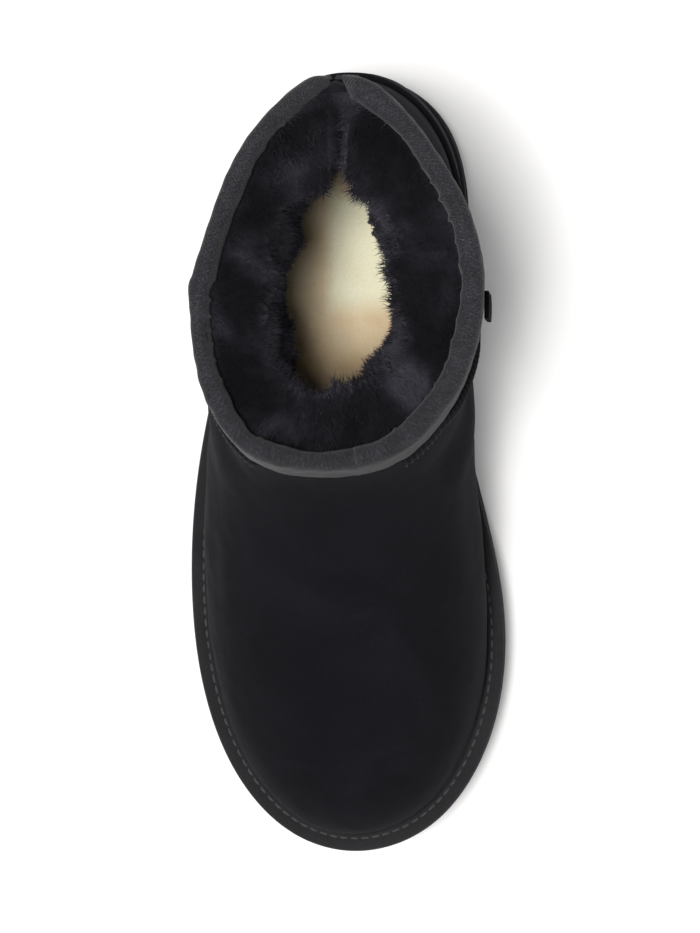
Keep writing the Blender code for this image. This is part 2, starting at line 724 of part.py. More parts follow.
def seam_band():
    """Side view of a seam: a band of the seam's width along its line."""
    back = column(SIDE_SEAM, 1) * SOLE_LENGTH / 2.0
    up = column(SIDE_SEAM, 2) * COLLAR_BACK_HEIGHT
    way = np.linspace(0.0, 1.0, len(back))
    fine = np.linspace(0.0, 1.0, 16)
    line = np.column_stack((np.interp(fine, way, back), np.interp(fine, way, up)))
    line[1:-1] = (line[:-2] + 2.0 * line[1:-1] + line[2:]) / 4.0
    direction = np.gradient(line, axis=0)
    direction = direction / np.linalg.norm(direction, axis=1, keepdims=True)
    side = np.column_stack((-direction[:, 1], direction[:, 0])) * SEAM_WIDTH / 2.0
    return [tuple(point) for point in np.vstack((line + side, (line - side)[::-1]))]


def build_seams(parts, cutters):
    """Raised seams of the two sides, from under the binding to the sole beside the counter."""
    sides = (
        ("medial_seam", (COLLAR_SIDE_SHIFT, BALL_WIDTH)),
        ("lateral_seam", (-BALL_WIDTH, COLLAR_SIDE_SHIFT)),
    )
    for name, across in sides:
        thread = finish_of(name + "_thread", (0.020, 0.020, 0.024), 0.9)
        slab = overlay_slab(name, SEAM_THICKNESS, thread, parts)
        cut(slab, flat_prism(name + "_band", seam_band(), across, cutters), "INTERSECT")


def build_tag(parts):
    """Small folded tag that hangs from under the binding on the inner side."""
    share = np.array((TAG_PLACE,))
    way = np.array((WALL_SHARES[-3],))
    foot = upper_surface(share, way)[0, 0]
    out = upper_normals(share, way)[0, 0]
    start = BINDING_EASE + 1.1 * BINDING_TAPE + 2.0 * GAP
    half = TAG_WIDTH / 2.0
    sections = []
    for _, drop, away in TAG_SHAPE:
        near = foot + out * (start + away * TAG_THICKNESS)
        level = foot[2] - drop * TAG_DROP
        far = near + out * TAG_THICKNESS
        sections.append([
            (near[0], near[1] - half, level),
            (far[0], far[1] - half, level),
            (far[0], far[1] + half, level),
            (near[0], near[1] + half, level),
        ])
    weave = finish_of("tag_weave", (0.012, 0.012, 0.014), 0.8)
    sweep("side_tag", np.array(sections), weave, parts)


for old in list(bpy.data.objects):
    bpy.data.objects.remove(old, do_unlink=True)

boot = bpy.data.collections.new("sheepskin_ankle_boot")
bpy.context.scene.collection.children.link(boot)
boot_cutters = bpy.data.collections.new("sheepskin_ankle_boot_cutters")
bpy.context.scene.collection.children.link(boot_cutters)

build_outsole(boot, boot_cutters)
build_welt(boot)
build_upper(boot)
build_insole(boot)
build_lining(boot)
build_binding(boot)
build_counter(boot, boot_cutters)
build_tab(boot, boot_cutters)
build_seams(boot, boot_cutters)
build_tag(boot)
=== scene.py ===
"""Sheepskin ankle boot for the right foot, standing empty in the studio.

Metres, +Z up. The toe points to -Y and the inner side of the foot is +X.
"""
import math

import bmesh
import bpy
import numpy as np
from mathutils import Matrix, Vector


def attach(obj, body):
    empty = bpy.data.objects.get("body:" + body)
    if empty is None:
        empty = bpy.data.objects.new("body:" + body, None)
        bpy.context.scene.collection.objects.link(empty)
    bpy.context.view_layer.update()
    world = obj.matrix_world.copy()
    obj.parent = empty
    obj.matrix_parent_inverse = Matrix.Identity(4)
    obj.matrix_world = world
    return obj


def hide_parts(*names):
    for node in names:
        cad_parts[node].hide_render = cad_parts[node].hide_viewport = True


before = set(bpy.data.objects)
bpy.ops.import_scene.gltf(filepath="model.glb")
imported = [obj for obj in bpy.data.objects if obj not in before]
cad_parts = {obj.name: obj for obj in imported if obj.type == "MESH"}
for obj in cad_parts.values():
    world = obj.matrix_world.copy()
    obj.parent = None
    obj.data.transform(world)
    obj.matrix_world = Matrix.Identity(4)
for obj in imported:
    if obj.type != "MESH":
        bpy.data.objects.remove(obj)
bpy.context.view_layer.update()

# The studio. A wide pale floor, one soft light high over the boot's outer front, three weak ones
# around it, and an even pale surround. The camera looks almost straight down on the boot, from
# the height of a standing table and a little to its inner side.
CAMERA_PLACE = Vector((0.0628, -0.0094, 0.885))
CAMERA_AIM = Vector((0.0038, -0.0015, 0.060))
CAMERA_LENS = 95.0
FLOOR_HALF = 3.0
FLOOR_TONE = 0.92
SURROUND_STRENGTH = 0.43

# place, aim and side: metres. power: watts
STUDIO_LIGHTS = (
    ("high_light", (-0.155, -0.11, 1.70), (0.0, 0.0, 0.05), 0.42, 25.5, (1.0, 0.99, 0.97)),
    ("side_light", (-0.85, 0.00, 1.30), (0.0, 0.0, 0.05), 0.7, 2.6, (1.0, 0.99, 0.98)),
    ("front_light", (-0.35, -1.30, 1.10), (0.0, 0.0, 0.05), 0.9, 1.6, (0.96, 0.98, 1.0)),
    ("low_light", (1.30, -1.00, 0.50), (0.0, 0.0, 0.06), 0.8, 1.6, (0.98, 0.99, 1.0)),
)

camera_data = bpy.data.cameras.new("camera")
camera_data.lens = CAMERA_LENS
camera_data.sensor_width = 36.0
camera_data.clip_end = 50.0
camera = bpy.data.objects.new("camera", camera_data)
forward = (CAMERA_AIM - CAMERA_PLACE).normalized()
sideways = forward.cross(Vector((0.0, 1.0, 0.0))).normalized()
turn = Matrix((sideways, sideways.cross(forward), -forward)).transposed().to_4x4()
camera.matrix_world = Matrix.Translation(CAMERA_PLACE) @ turn
bpy.context.scene.collection.objects.link(camera)
bpy.context.scene.camera = camera
bpy.context.scene.view_settings.view_transform = "Standard"

for light_name, light_place, light_aim, light_side, power, light_colour in STUDIO_LIGHTS:
    light = bpy.data.lights.new(light_name, "AREA")
    light.shape = "SQUARE"
    light.size = light_side
    light.energy = power
    light.color = light_colour
    lamp = bpy.data.objects.new(light_name, light)
    towards = (Vector(light_aim) - Vector(light_place)).to_track_quat("-Z", "Y")
    lamp.matrix_world = Matrix.Translation(light_place) @ towards.to_matrix().to_4x4()
    bpy.context.scene.collection.objects.link(lamp)

surround = bpy.data.worlds.new("surround")
surround.use_nodes = True
background = surround.node_tree.nodes["Background"]
background.inputs["Color"].default_value = (1.0, 1.0, 1.0, 1.0)
background.inputs["Strength"].default_value = SURROUND_STRENGTH
bpy.context.scene.world = surround

floor_mesh = bpy.data.meshes.new("studio_floor")
floor_corners = [(x * FLOOR_HALF, y * FLOOR_HALF, 0.0) for x, y in ((-1, -1), (1, -1), (1, 1), (-1, 1))]
floor_mesh.from_pydata(floor_corners, [], [(0, 1, 2, 3)])
floor = bpy.data.objects.new("studio_floor", floor_mesh)
bpy.context.scene.collection.objects.link(floor)
floor_paint = bpy.data.materials.new("pale_floor")
floor_paint.use_nodes = True
floor_shader = floor_paint.node_tree.nodes["Principled BSDF"]
floor_shader.inputs["Base Color"].default_value = (FLOOR_TONE, FLOOR_TONE, FLOOR_TONE, 1.0)
floor_shader.inputs["Roughness"].default_value = 0.9
floor_mesh.materials.append(floor_paint)


# The sole: one moulded unit of black foamed rubber, a low wedge with an arch, a lifted toe, a
# groove along its side and lugs underneath. The upper's flange is cemented to its top edge.
SOLE_LENGTH = 0.271
BALL_WIDTH = 0.111
HEEL_THICKNESS = 0.026
FOREFOOT_THICKNESS = 0.0175
TOE_SPRING = 0.0085
ARCH_RISE = 0.0045
HEEL_BEVEL = 0.0025
SIDE_GROOVE = 0.0014
RIM_ROUND = (0.0006, 0.0014)
LUG_DEPTH = 0.003
LUG_GROOVE = 0.004
LUG_PITCH = 0.0125
LUG_CHANNEL = 0.005
LUG_SOFT = 0.0005
SOLE_HALF_STATIONS = 340

# along: share of the length, toe at -0.5. across: share of the ball width
SOLE_OUTLINE = (
    ("toe tip", -0.500, 0.036),
    ("inner toe", -0.469, 0.259),
    ("inner toe joint", -0.385, 0.422),
    ("inner ball", -0.217, 0.500),
    ("behind inner ball", -0.091, 0.454),
    ("inner waist", 0.056, 0.372),
    ("inner waist back", 0.187, 0.358),
    ("inner heel", 0.336, 0.384),
    ("inner heel corner", 0.4545, 0.285),
    ("heel tip", 0.500, 0.040),
    ("outer heel corner", 0.4545, -0.212),
    ("outer heel", 0.336, -0.325),
    ("outer waist", 0.168, -0.388),
    ("behind outer ball", 0.019, -0.464),
    ("outer ball", -0.149, -0.500),
    ("outer toe joint", -0.300, -0.456),
    ("outer toe", -0.427, -0.310),
    ("outer toe tip", -0.482, -0.152),
)

# height: share from the ground to the top edge. inset: share of the groove depth
SOLE_SIDE = (
    ("tread edge", 0.00, 1.80),
    ("lower bulge", 0.16, 0.25),
    ("side wall", 0.34, 0.00),
    ("below the groove", 0.56, 0.00),
    ("groove", 0.60, 1.00),
    ("groove top", 0.70, 1.00),
    ("rim step", 0.74, 0.15),
    ("top edge", 1.00, 0.00),
)

# start and end: shares of the length between which the tread has grooves from side to side
TREAD_SPANS = (("forefoot", -0.42, -0.10), ("heel", 0.20, 0.44))
CHANNEL_SPANS = (("forefoot", -0.33, -0.10), ("heel", 0.20, 0.40))


def column(table, index):
    """One column of a table, without the row names."""
    return np.array([row[index] for row in table], float)


def smooth_step(value, start, end):
    """Zero before start, one after end, and a smooth rise between them."""
    share = np.clip((np.asarray(value, float) - start) / (end - start), 0.0, 1.0)
    return share * share * (3.0 - 2.0 * share)


def unit(vectors):
    """The same directions with a length of one."""
    return vectors / np.linalg.norm(vectors, axis=-1, keepdims=True)


def path_lengths(points):
    """Distance along a path from its first point to each of its points."""
    return np.concatenate(([0.0], np.cumsum(np.linalg.norm(np.diff(points, axis=0), axis=-1))))


def read_path(values, places, at):
    """Rows of values along a path, read at other places by straight lines between them."""
    return np.stack([np.interp(at, places, part) for part in values.T], axis=-1)


def soften(values, rounds):
    """Smooths an open row of values in place: each takes the mean of itself, twice, and its neighbours."""
    for _ in range(rounds):
        values[1:-1] = (values[:-2] + 2.0 * values[1:-1] + values[2:]) / 4.0


def lifted(plan, heights):
    """Points of a plan raised to their heights."""
    return np.concatenate((plan, heights[..., None]), axis=-1)


def periodic_spline(knots, values, shares):
    """Cubic curve through the values, closed over the shares 0 to 1, read at the given shares."""
    knots = np.asarray(knots, float)
    values = np.asarray(values, float)
    count = len(knots)
    ends = np.append(knots, knots[0] + 1.0)
    steps = np.diff(ends)
    wide = (-1,) + (1,) * (values.ndim - 1)
    slopes = (np.roll(values, -1, axis=0) - values) / steps.reshape(wide)
    places = np.arange(count)
    matrix = np.zeros((count, count))
    matrix[places, places - 1] = np.roll(steps, 1)
    matrix[places, places] = 2.0 * (np.roll(steps, 1) + steps)
    matrix[places, (places + 1) % count] = steps
    bends = np.linalg.solve(matrix, 6.0 * (slopes - np.roll(slopes, 1, axis=0)))
    shares = np.mod(np.asarray(shares, float) - knots[0], 1.0) + knots[0]
    piece = np.clip(np.searchsorted(ends, shares, side="right") - 1, 0, count - 1)
    after = (piece + 1) % count
    step = steps[piece].reshape(wide)
    done = (shares - ends[piece]).reshape(wide)
    left = step - done
    curve = (bends[piece] * left ** 3 + bends[after] * done ** 3) / (6.0 * step)
    curve = curve + (values[piece] / step - bends[piece] * step / 6.0) * left
    return curve + (values[after] / step - bends[after] * step / 6.0) * done


def read_table(table, index, shares):
    """Closed curve through one column of a table, over the shares in its first column of numbers."""
    curve = periodic_spline(column(table, 1), column(table, index), np.ravel(shares))
    return curve.reshape(np.shape(shares))


def measured_outline():
    """Dense points of the sole's outline, with the share of its length at each, and its normals."""
    corners = np.column_stack((column(SOLE_OUTLINE, 2) * BALL_WIDTH, column(SOLE_OUTLINE, 1) * SOLE_LENGTH))
    chords = np.linalg.norm(np.roll(corners, -1, axis=0) - corners, axis=1)
    knots = np.concatenate(([0.0], np.cumsum(chords)[:-1])) / chords.sum()
    points = periodic_spline(knots, corners, np.linspace(0.0, 1.0, 2881)[:-1])
    low = points.min(axis=0)
    high = points.max(axis=0)
    points = (points - (low + high) / 2.0) * np.array((BALL_WIDTH, SOLE_LENGTH)) / (high - low)
    points = np.roll(points, -int(points[:, 1].argmin()), axis=0)
    points = np.vstack((points, points[:1]))
    lengths = path_lengths(points)
    tangents = unit(np.roll(points[:-1], -1, axis=0) - np.roll(points[:-1], 1, axis=0))
    normals = np.column_stack((tangents[:, 1], -tangents[:, 0]))
    return lengths / lengths[-1], points, np.vstack((normals, normals[:1])), lengths[-1]


OUTLINE_SHARES, OUTLINE_POINTS, OUTLINE_NORMALS, OUTLINE_LENGTH = measured_outline()


def outline(shares, inset=0.0):
    """Points of the sole's outline at the shares, moved inwards by the inset, and its normals."""
    shares = np.mod(np.asarray(shares, float), 1.0)
    points = read_path(OUTLINE_POINTS, OUTLINE_SHARES, shares)
    normals = unit(read_path(OUTLINE_NORMALS, OUTLINE_SHARES, shares))
    return points - normals * np.asarray(inset, float)[..., None], normals


def station_shares(half):
    """Shares around the outline whose inner and outer points lie at the same places along the foot."""
    along = -np.cos(np.linspace(0.0, math.pi, half + 1)) * SOLE_LENGTH / 2.0
    heel = int(OUTLINE_POINTS[:, 1].argmax())
    inner = np.interp(along, OUTLINE_POINTS[:heel + 1, 1], OUTLINE_SHARES[:heel + 1])
    outer = np.interp(along, OUTLINE_POINTS[heel:, 1][::-1], OUTLINE_SHARES[heel:][::-1])
    return np.concatenate((inner, outer[::-1][1:-1]))


def toe_lift(along):
    """Height that the toe spring adds: a parabola from the ball to the toe."""
    start = 0.17 * SOLE_LENGTH
    return TOE_SPRING * np.clip((-along - start) / (SOLE_LENGTH / 2.0 - start), 0.0, 1.0) ** 2


def sole_bottom(along):
    """Height of the tread: flat at heel and forefoot, a squared sine at the arch, parabolas at the ends."""
    arch_start = -0.06 * SOLE_LENGTH
    arch_end = 0.18 * SOLE_LENGTH
    arch_way = np.clip((along - arch_start) / (arch_end - arch_start), 0.0, 1.0)
    arch = ARCH_RISE * np.sin(math.pi * arch_way) ** 2
    bevel_start = 0.42 * SOLE_LENGTH
    bevel = np.clip((along - bevel_start) / (SOLE_LENGTH / 2.0 - bevel_start), 0.0, 1.0) ** 2
    return toe_lift(along) + arch + HEEL_BEVEL * bevel


def sole_top(along):
    """Height of the sole's upper face: forefoot and heel thickness joined by a smooth step."""
    wedge = smooth_step(along, -0.22 * SOLE_LENGTH, 0.26 * SOLE_LENGTH)
    return FOREFOOT_THICKNESS + (HEEL_THICKNESS - FOREFOOT_THICKNESS) * wedge + toe_lift(along)


def tread_depth(points):
    """Depth of the tread's grooves: a trough at each crossing line and along the channel of each part."""
    from_middle = np.abs(points[..., 0] - OUTLINE_POINTS[:, 0].mean())
    depth = np.zeros(points.shape[:-1])
    for _, start, end in TREAD_SPANS:
        length = (end - start) * SOLE_LENGTH
        count = int(length // LUG_PITCH)
        first = start * SOLE_LENGTH + (length - count * LUG_PITCH) / 2.0
        number = np.clip(np.round((points[..., 1] - first) / LUG_PITCH), 0, count)
        away = np.abs(points[..., 1] - first - number * LUG_PITCH)
        trough = 1.0 - smooth_step(away, LUG_GROOVE / 2.0 - LUG_SOFT, LUG_GROOVE / 2.0 + LUG_SOFT)
        depth = np.maximum(depth, trough)
    for _, start, end in CHANNEL_SPANS:
        side = 1.0 - smooth_step(from_middle, LUG_CHANNEL / 2.0 - LUG_SOFT, LUG_CHANNEL / 2.0 + LUG_SOFT)
        inside = (points[..., 1] > start * SOLE_LENGTH) & (points[..., 1] < end * SOLE_LENGTH)
        depth = np.maximum(depth, side * inside)
    return depth * LUG_DEPTH


def wave_noise(points, size, seed, count=28):
    """Smooth unevenness of about -1 to 1: a sum of sine waves in random directions, of lengths near size."""
    draw = np.random.default_rng(seed)
    directions = unit(draw.normal(size=(count, 3)))
    lengths = size * draw.uniform(0.7, 1.5, count)
    starts = draw.uniform(0.0, 2.0 * math.pi, count)
    turns = points.reshape(-1, 3) @ (2.0 * math.pi * directions / lengths[:, None]).T + starts
    return (np.sin(turns).sum(axis=1) * math.sqrt(1.0 / count)).reshape(points.shape[:-1])


def grid_faces(rows, columns, close_rows=False, close_columns=True):
    """Corner numbers of a grid's quads. Columns, rows or both close on themselves."""
    last_row = rows if close_rows else rows - 1
    last_column = columns if close_columns else columns - 1
    low, left = np.meshgrid(np.arange(last_row), np.arange(last_column), indexing="ij")
    low, left = low.ravel(), left.ravel()
    high, right = (low + 1) % rows, (left + 1) % columns
    below, above = low * columns, high * columns
    return np.column_stack((below + left, below + right, above + right, above + left))


def lay_mesh(name, points, faces, finish, weld=0.0, turn_out=False, sharp=180.0):
    """Mesh from arrays of points and of faces, welded and turned outwards where asked, and shaded smooth."""
    points = np.asarray(points, np.float32).reshape(-1, 3)
    groups = faces if isinstance(faces, (list, tuple)) else [faces]
    corners = np.concatenate([group.ravel() for group in groups]).astype(np.int32)
    sizes = np.concatenate([np.full(len(group), group.shape[1]) for group in groups])
    mesh = bpy.data.meshes.new(name)
    mesh.vertices.add(len(points))
    mesh.vertices.foreach_set("co", points.ravel())
    mesh.loops.add(len(corners))
    mesh.loops.foreach_set("vertex_index", corners)
    mesh.polygons.add(len(sizes))
    mesh.polygons.foreach_set("loop_start", np.concatenate(([0], np.cumsum(sizes)[:-1])).astype(np.int32))
    mesh.update(calc_edges=True)
    if weld or turn_out:
        work = bmesh.new()
        work.from_mesh(mesh)
        if weld:
            bmesh.ops.remove_doubles(work, verts=work.verts, dist=weld)
            bmesh.ops.dissolve_degenerate(work, edges=work.edges, dist=weld)
        if turn_out:
            bmesh.ops.recalc_face_normals(work, faces=work.faces)
        work.to_mesh(mesh)
        work.free()
    mesh.shade_smooth()
    if sharp < 180.0:
        mesh.set_sharp_from_angle(angle=math.radians(sharp))
    mesh.materials.append(finish)
    return mesh


def add_piece(mesh, slot, *replaced):
    """Object of the boot that carries a mesh and may stand for CAD nodes. Its slot is not used."""
    piece = bpy.data.objects.new(mesh.name, mesh)
    bpy.context.scene.collection.objects.link(piece)
    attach(piece, "root")
    if replaced:
        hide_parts(*replaced)
    return piece


# Outputs of the texture coordinate node
FLAT_MAP = 2
OBJECT_PLACE = 3


def new_finish(name, colour, roughness, levels=None):
    """Principled material. levels gives the values of other sockets that are the same all over."""
    finish = bpy.data.materials.new(name)
    finish.use_nodes = True
    shader = finish.node_tree.nodes["Principled BSDF"]
    shader.inputs["Base Color"].default_value = (*colour, 1.0)
    shader.inputs["Roughness"].default_value = roughness
    for socket, value in (levels or {}).items():
        shader.inputs[socket].default_value = value
    return finish


def fill_sockets(finish, node, sockets):
    """Sets a node's sockets to values, or links them to other nodes' outputs."""
    for name, value in sockets.items():
        if isinstance(value, bpy.types.NodeSocket):
            finish.node_tree.links.new(value, node.inputs[name])
        else:
            node.inputs[name].default_value = value


def add_node(finish, kind, sockets, output=0, **settings):
    """Adds a shader node with its settings and sockets, and gives one of its outputs."""
    node = finish.node_tree.nodes.new("ShaderNode" + kind)
    for name, value in settings.items():
        setattr(node, name, value)
    fill_sockets(finish, node, sockets)
    return node.outputs[output]


def ramp(finish, factor, *stops):
    """Colours over a factor. Each stop is a place and a colour or a grey."""
    node = finish.node_tree.nodes.new("ShaderNodeValToRGB")
    finish.node_tree.links.new(factor, node.inputs[0])
    elements = node.color_ramp.elements
    for number, (place, colour) in enumerate(stops):
        element = elements[number] if number < 2 else elements.new(place)
        element.position = place
        element.color = (*colour, 1.0) if isinstance(colour, tuple) else (colour, colour, colour, 1.0)
    return node.outputs[0]


def mixed(finish, factor, first, second, kind="MIX"):
    """Two colours mixed by a factor."""
    node = finish.node_tree.nodes.new("ShaderNodeMix")
    node.data_type = "RGBA"
    node.blend_type = kind
    fill_sockets(finish, node, {0: factor, 6: first, 7: second})
    return node.outputs[2]


def toned(finish, colour, tone):
    """A colour multiplied by a tone."""
    return mixed(finish, 1.0, colour, tone, "MULTIPLY")


def joined(finish, first, second, operation="ADD"):
    """Two values added, or joined by another operation."""
    return add_node(finish, "Math", {0: first, 1: second}, operation=operation)


def noise(finish, spot, scale, detail, roughness=0.5, distortion=0.0):
    """Cloudy noise over the spot, in patches of about one over the scale."""
    return add_node(finish, "TexNoise", {
        "Vector": spot, "Scale": scale, "Detail": detail, "Roughness": roughness, "Distortion": distortion,
    })


def bumped(finish, height, strength, distance):
    """Normal of a face that stands out with a height, by up to the distance in metres."""
    return add_node(finish, "Bump", {"Height": height, "Strength": strength, "Distance": distance})


def wear_finish(finish, sockets):
    """Links colour, roughness or normal into a material's shader."""
    fill_sockets(finish, finish.node_tree.nodes["Principled BSDF"], sockets)


rubber = new_finish("sole_rubber", (0.012, 0.012, 0.013), 0.62, {"Specular IOR Level": 0.42})
place = add_node(rubber, "TexCoord", {}, OBJECT_PLACE)
pebble_size = {"Vector": place, "Scale": 1150.0, "Randomness": 0.9}
pebble = add_node(rubber, "TexVoronoi", pebble_size, feature="SMOOTH_F1")
haze = noise(rubber, place, 42.0, 5.0, 0.6)
wear_finish(rubber, {
    "Base Color": ramp(rubber, haze, (0.35, (0.010, 0.010, 0.011)), (0.75, (0.021, 0.021, 0.022))),
    "Roughness": ramp(rubber, haze, (0.3, 0.52), (0.8, 0.76)),
    "Normal": bumped(rubber, pebble, 0.55, 0.00022),
})

sole_shares = station_shares(SOLE_HALF_STATIONS)
mirror_places = (len(sole_shares) - np.arange(len(sole_shares))) % len(sole_shares)
side_ways = np.linspace(0.0, 1.0, 36)
side_rows = np.linspace(0.0, 1.0, len(SOLE_SIDE))
side_heights = np.interp(side_ways, side_rows, column(SOLE_SIDE, 1))
side_insets = np.interp(side_ways, side_rows, column(SOLE_SIDE, 2)) * SIDE_GROOVE
soften(side_insets, 1)
side_insets = np.concatenate((side_insets, RIM_ROUND))
side_heights = np.concatenate((side_heights, np.full(len(RIM_ROUND), 1.02)))
side_grid = np.broadcast_to(sole_shares, (len(side_insets), len(sole_shares)))
side_plan = outline(side_grid, side_insets[:, None])[0]
side_low = sole_bottom(side_plan[..., 1])
side_tread = tread_depth(side_plan) * smooth_step(side_heights, 0.30, 0.0)[:, None]
side_high = sole_top(side_plan[..., 1])
side_up = side_low + side_tread + side_heights[:, None] * (side_high - side_low - side_tread)
side_points = lifted(side_plan, np.minimum(side_up, side_high))


def across_rows(edge, shares_out):
    """Rows from the centre line out to an edge ring, at shares of the way from the middle of each pair."""
    middle = (edge + edge[mirror_places]) / 2.0
    return middle + (edge - middle) * shares_out[:, None, None]


tread_rows = across_rows(side_plan[0], np.linspace(0.0, 1.0, 47)[:-1] ** 0.96)
tread_points = lifted(tread_rows, sole_bottom(tread_rows[..., 1]) + tread_depth(tread_rows))
top_rows = across_rows(side_plan[-1], np.array((0.8, 0.4, 0.0)))
top_points = lifted(top_rows, sole_top(top_rows[..., 1]))
sole_points = np.concatenate((tread_points, side_points, top_points))
sole_faces = grid_faces(*sole_points.shape[:2])
sole_mesh = lay_mesh("moulded_sole", sole_points, sole_faces, rubber, 1e-6, True, 38.0)
add_piece(sole_mesh, "sole_rubber", "outsole")


# The footbed: a cream felt board with a short ivory wool face, cut to the inside of the upper and
# glued down. Feet have dished it a little. Its colour turns warmer and darker towards its outer side
# and front, and painted shade darkens it towards the toe.
INSOLE_THICKNESS = 0.0045
UPPER_WALL = 0.0022
WELT_CLEARANCE = 0.0014
FOREFOOT_RIM = 0.0068
HEEL_RIM = 0.0052
GAP = 0.0003
BED_EDGE_ROUND = 0.0012
BED_EDGE_DROP = 0.0016

# Where feet have dished the footbed. place: along the foot. half width, half length and depth: metres
BED_DISHES = (
    ("heel", 0.088, 0.020, 0.030, 0.0007),
    ("ball", -0.045, 0.030, 0.030, 0.0005),
)


def rim(shares):
    """Width of the rim between the sole's edge and the foot of the upper."""
    back = smooth_step(outline(shares)[0][..., 1], 0.0, 0.3 * SOLE_LENGTH)
    return FOREFOOT_RIM + (HEEL_RIM - FOREFOOT_RIM) * back


def between(finish, value, start, end, level=1.0):
    """Nothing before the start, the level after the end, and a straight rise between them."""
    return add_node(finish, "MapRange", {0: value, 1: start, 2: end, 4: level})


def round_spot(finish, place, centre, far, near, level):
    """A soft round spot: the level nearer to its centre than near, and nothing farther than far."""
    away = add_node(finish, "VectorMath", {0: place, 1: centre}, operation="SUBTRACT")
    return between(finish, add_node(finish, "VectorMath", {0: away}, 1, operation="LENGTH"), far, near, level)


felt = new_finish("cream_felt", (0.86, 0.79, 0.62), 0.93, {"Sheen Weight": 0.2, "Sheen Roughness": 0.5})
place = add_node(felt, "TexCoord", {}, OBJECT_PLACE)
across_foot = add_node(felt, "SeparateXYZ", {0: place}, 0)
along_foot = add_node(felt, "SeparateXYZ", {0: place}, 1)
blotch = noise(felt, place, 55.0, 4.0, 0.6)
fibre = noise(felt, place, 1300.0, 5.0, 0.7)
pills = noise(felt, place, 330.0, 3.0, 0.5, 1.2)
ivory = ramp(felt, blotch, (0.34, (0.93, 0.88, 0.62)), (0.52, (0.96, 0.92, 0.67)), (0.70, (0.97, 0.94, 0.71)))
golden = ramp(
    felt, blotch, (0.30, (0.84, 0.64, 0.39)), (0.55, (0.93, 0.76, 0.51)), (0.72, (0.95, 0.83, 0.60))
)
outer_warmth = between(felt, across_foot, -0.0035, -0.0080)
front_warmth = between(felt, along_foot, 0.058, 0.050)
warmth = joined(felt, outer_warmth, front_warmth, "MAXIMUM")
# Painted shade: the footbed darkens towards the toe, where the vamp and the front of the collar keep light
# from it.
painted_toe_shade_share = between(felt, along_foot, 0.060, 0.026)
painted_toe_shade = ramp(felt, painted_toe_shade_share, (0.0, (1.0, 1.0, 1.0)), (0.45, (0.72, 0.69, 0.65)), (1.0, (0.46, 0.41, 0.35)))
warmth_and_painted_shade = toned(felt, mixed(felt, warmth, ivory, golden), painted_toe_shade)
stain = round_spot(felt, place, (0.001, 0.0985, 0.0328), 0.0085, 0.001, 0.75)
stain_and_painted_shade = mixed(felt, stain, warmth_and_painted_shade, (0.55, 0.27, 0.10, 1.0))
speck = ramp(felt, fibre, (0.35, 0.95), (0.65, 1.03))
wear_finish(felt, {
    "Base Color": toned(felt, stain_and_painted_shade, speck),
    "Normal": bumped(felt, joined(felt, fibre, pills), 0.7, 0.0005),
})

bed_shares = station_shares(120)
mirror_places = (len(bed_shares) - np.arange(len(bed_shares))) % len(bed_shares)
bed_inset = rim(bed_shares) + UPPER_WALL + WELT_CLEARANCE
edge_turns = np.linspace(0.0, math.pi / 2.0, 5)
edge_insets = np.concatenate(((0.0,), BED_EDGE_ROUND * (1.0 - np.cos(edge_turns))))
edge_levels = np.concatenate(((0.0,), INSOLE_THICKNESS - BED_EDGE_DROP * (1.0 - np.sin(edge_turns))))
bed_side = outline(np.broadcast_to(bed_shares, (6, len(bed_shares))), bed_inset + edge_insets[:, None])[0]
bed_top = across_rows(bed_side[-1], np.linspace(1.0, 0.0, 30)[1:])
bed_under = across_rows(bed_side[0], np.array((0.0, 0.5)))
bed_plan = np.concatenate((bed_under, bed_side, bed_top))
bed_level = np.concatenate((np.zeros(len(bed_under)), edge_levels, np.full(len(bed_top), INSOLE_THICKNESS)))
bed_points = lifted(bed_plan, sole_top(bed_plan[..., 1]) + GAP + bed_level[:, None])
dish = -0.00012 * wave_noise(bed_points, 0.012, 3)
for _, dish_place, half_width, half_length, depth in BED_DISHES:
    share_out = (bed_plan[..., 0] / half_width) ** 2 + ((bed_plan[..., 1] - dish_place) / half_length) ** 2
    dish = dish + depth * np.exp(-share_out)
face_start = len(bed_under) + len(bed_side)
bed_points[face_start:, :, 2] -= dish[face_start:]
bed_mesh = lay_mesh("felt_footbed", bed_points, grid_faces(*bed_points.shape[:2]), felt, 1e-6, True)
add_piece(bed_mesh, "insole_felt", "insole")


# The welt: a flange of the same suede as the upper, turned out flat over the sole's edge and
# stitched down close to the wall with grey thread. Its suede is a paler copy of the upper's, painted light.
WELT_THICKNESS = 0.0024
WELT_SETBACK = 0.0004
WELT_WALL_GAP = 0.0004
STITCH_LINE = 0.72
STITCH_LEVEL = 0.80
STITCH_SINK = 0.0009
STITCH_PITCH = 0.0041
STITCH_LENGTH = 0.0029
STITCH_RADIUS = 0.00042


def suede_finish(name, dark, light, sheen):
    """Napped suede: stroked patches darken and lighten the nap, and fine noise stands its fibres up."""
    finish = new_finish(name, dark, 0.95, {
        "Specular IOR Level": 0.05,
        "Sheen Weight": sheen,
        "Sheen Roughness": 0.5,
        "Sheen Tint": (0.80, 0.80, 0.92, 1.0),
    })
    spot = add_node(finish, "TexCoord", {}, OBJECT_PLACE)
    stroke = noise(finish, spot, 26.0, 4.0, 0.55, 0.9)
    nap = noise(finish, spot, 1500.0, 4.0, 0.65)
    tuft = noise(finish, spot, 420.0, 3.0)
    tone = ramp(finish, stroke, (0.32, dark), (0.70, light))
    wear_finish(finish, {
        "Base Color": toned(finish, tone, ramp(finish, nap, (0.30, 0.80), (0.72, 1.18))),
        "Roughness": ramp(finish, nap, (0.3, 0.90), (0.7, 0.99)),
        "Normal": bumped(finish, joined(finish, nap, tuft), 0.5, 0.00020),
    })
    return finish


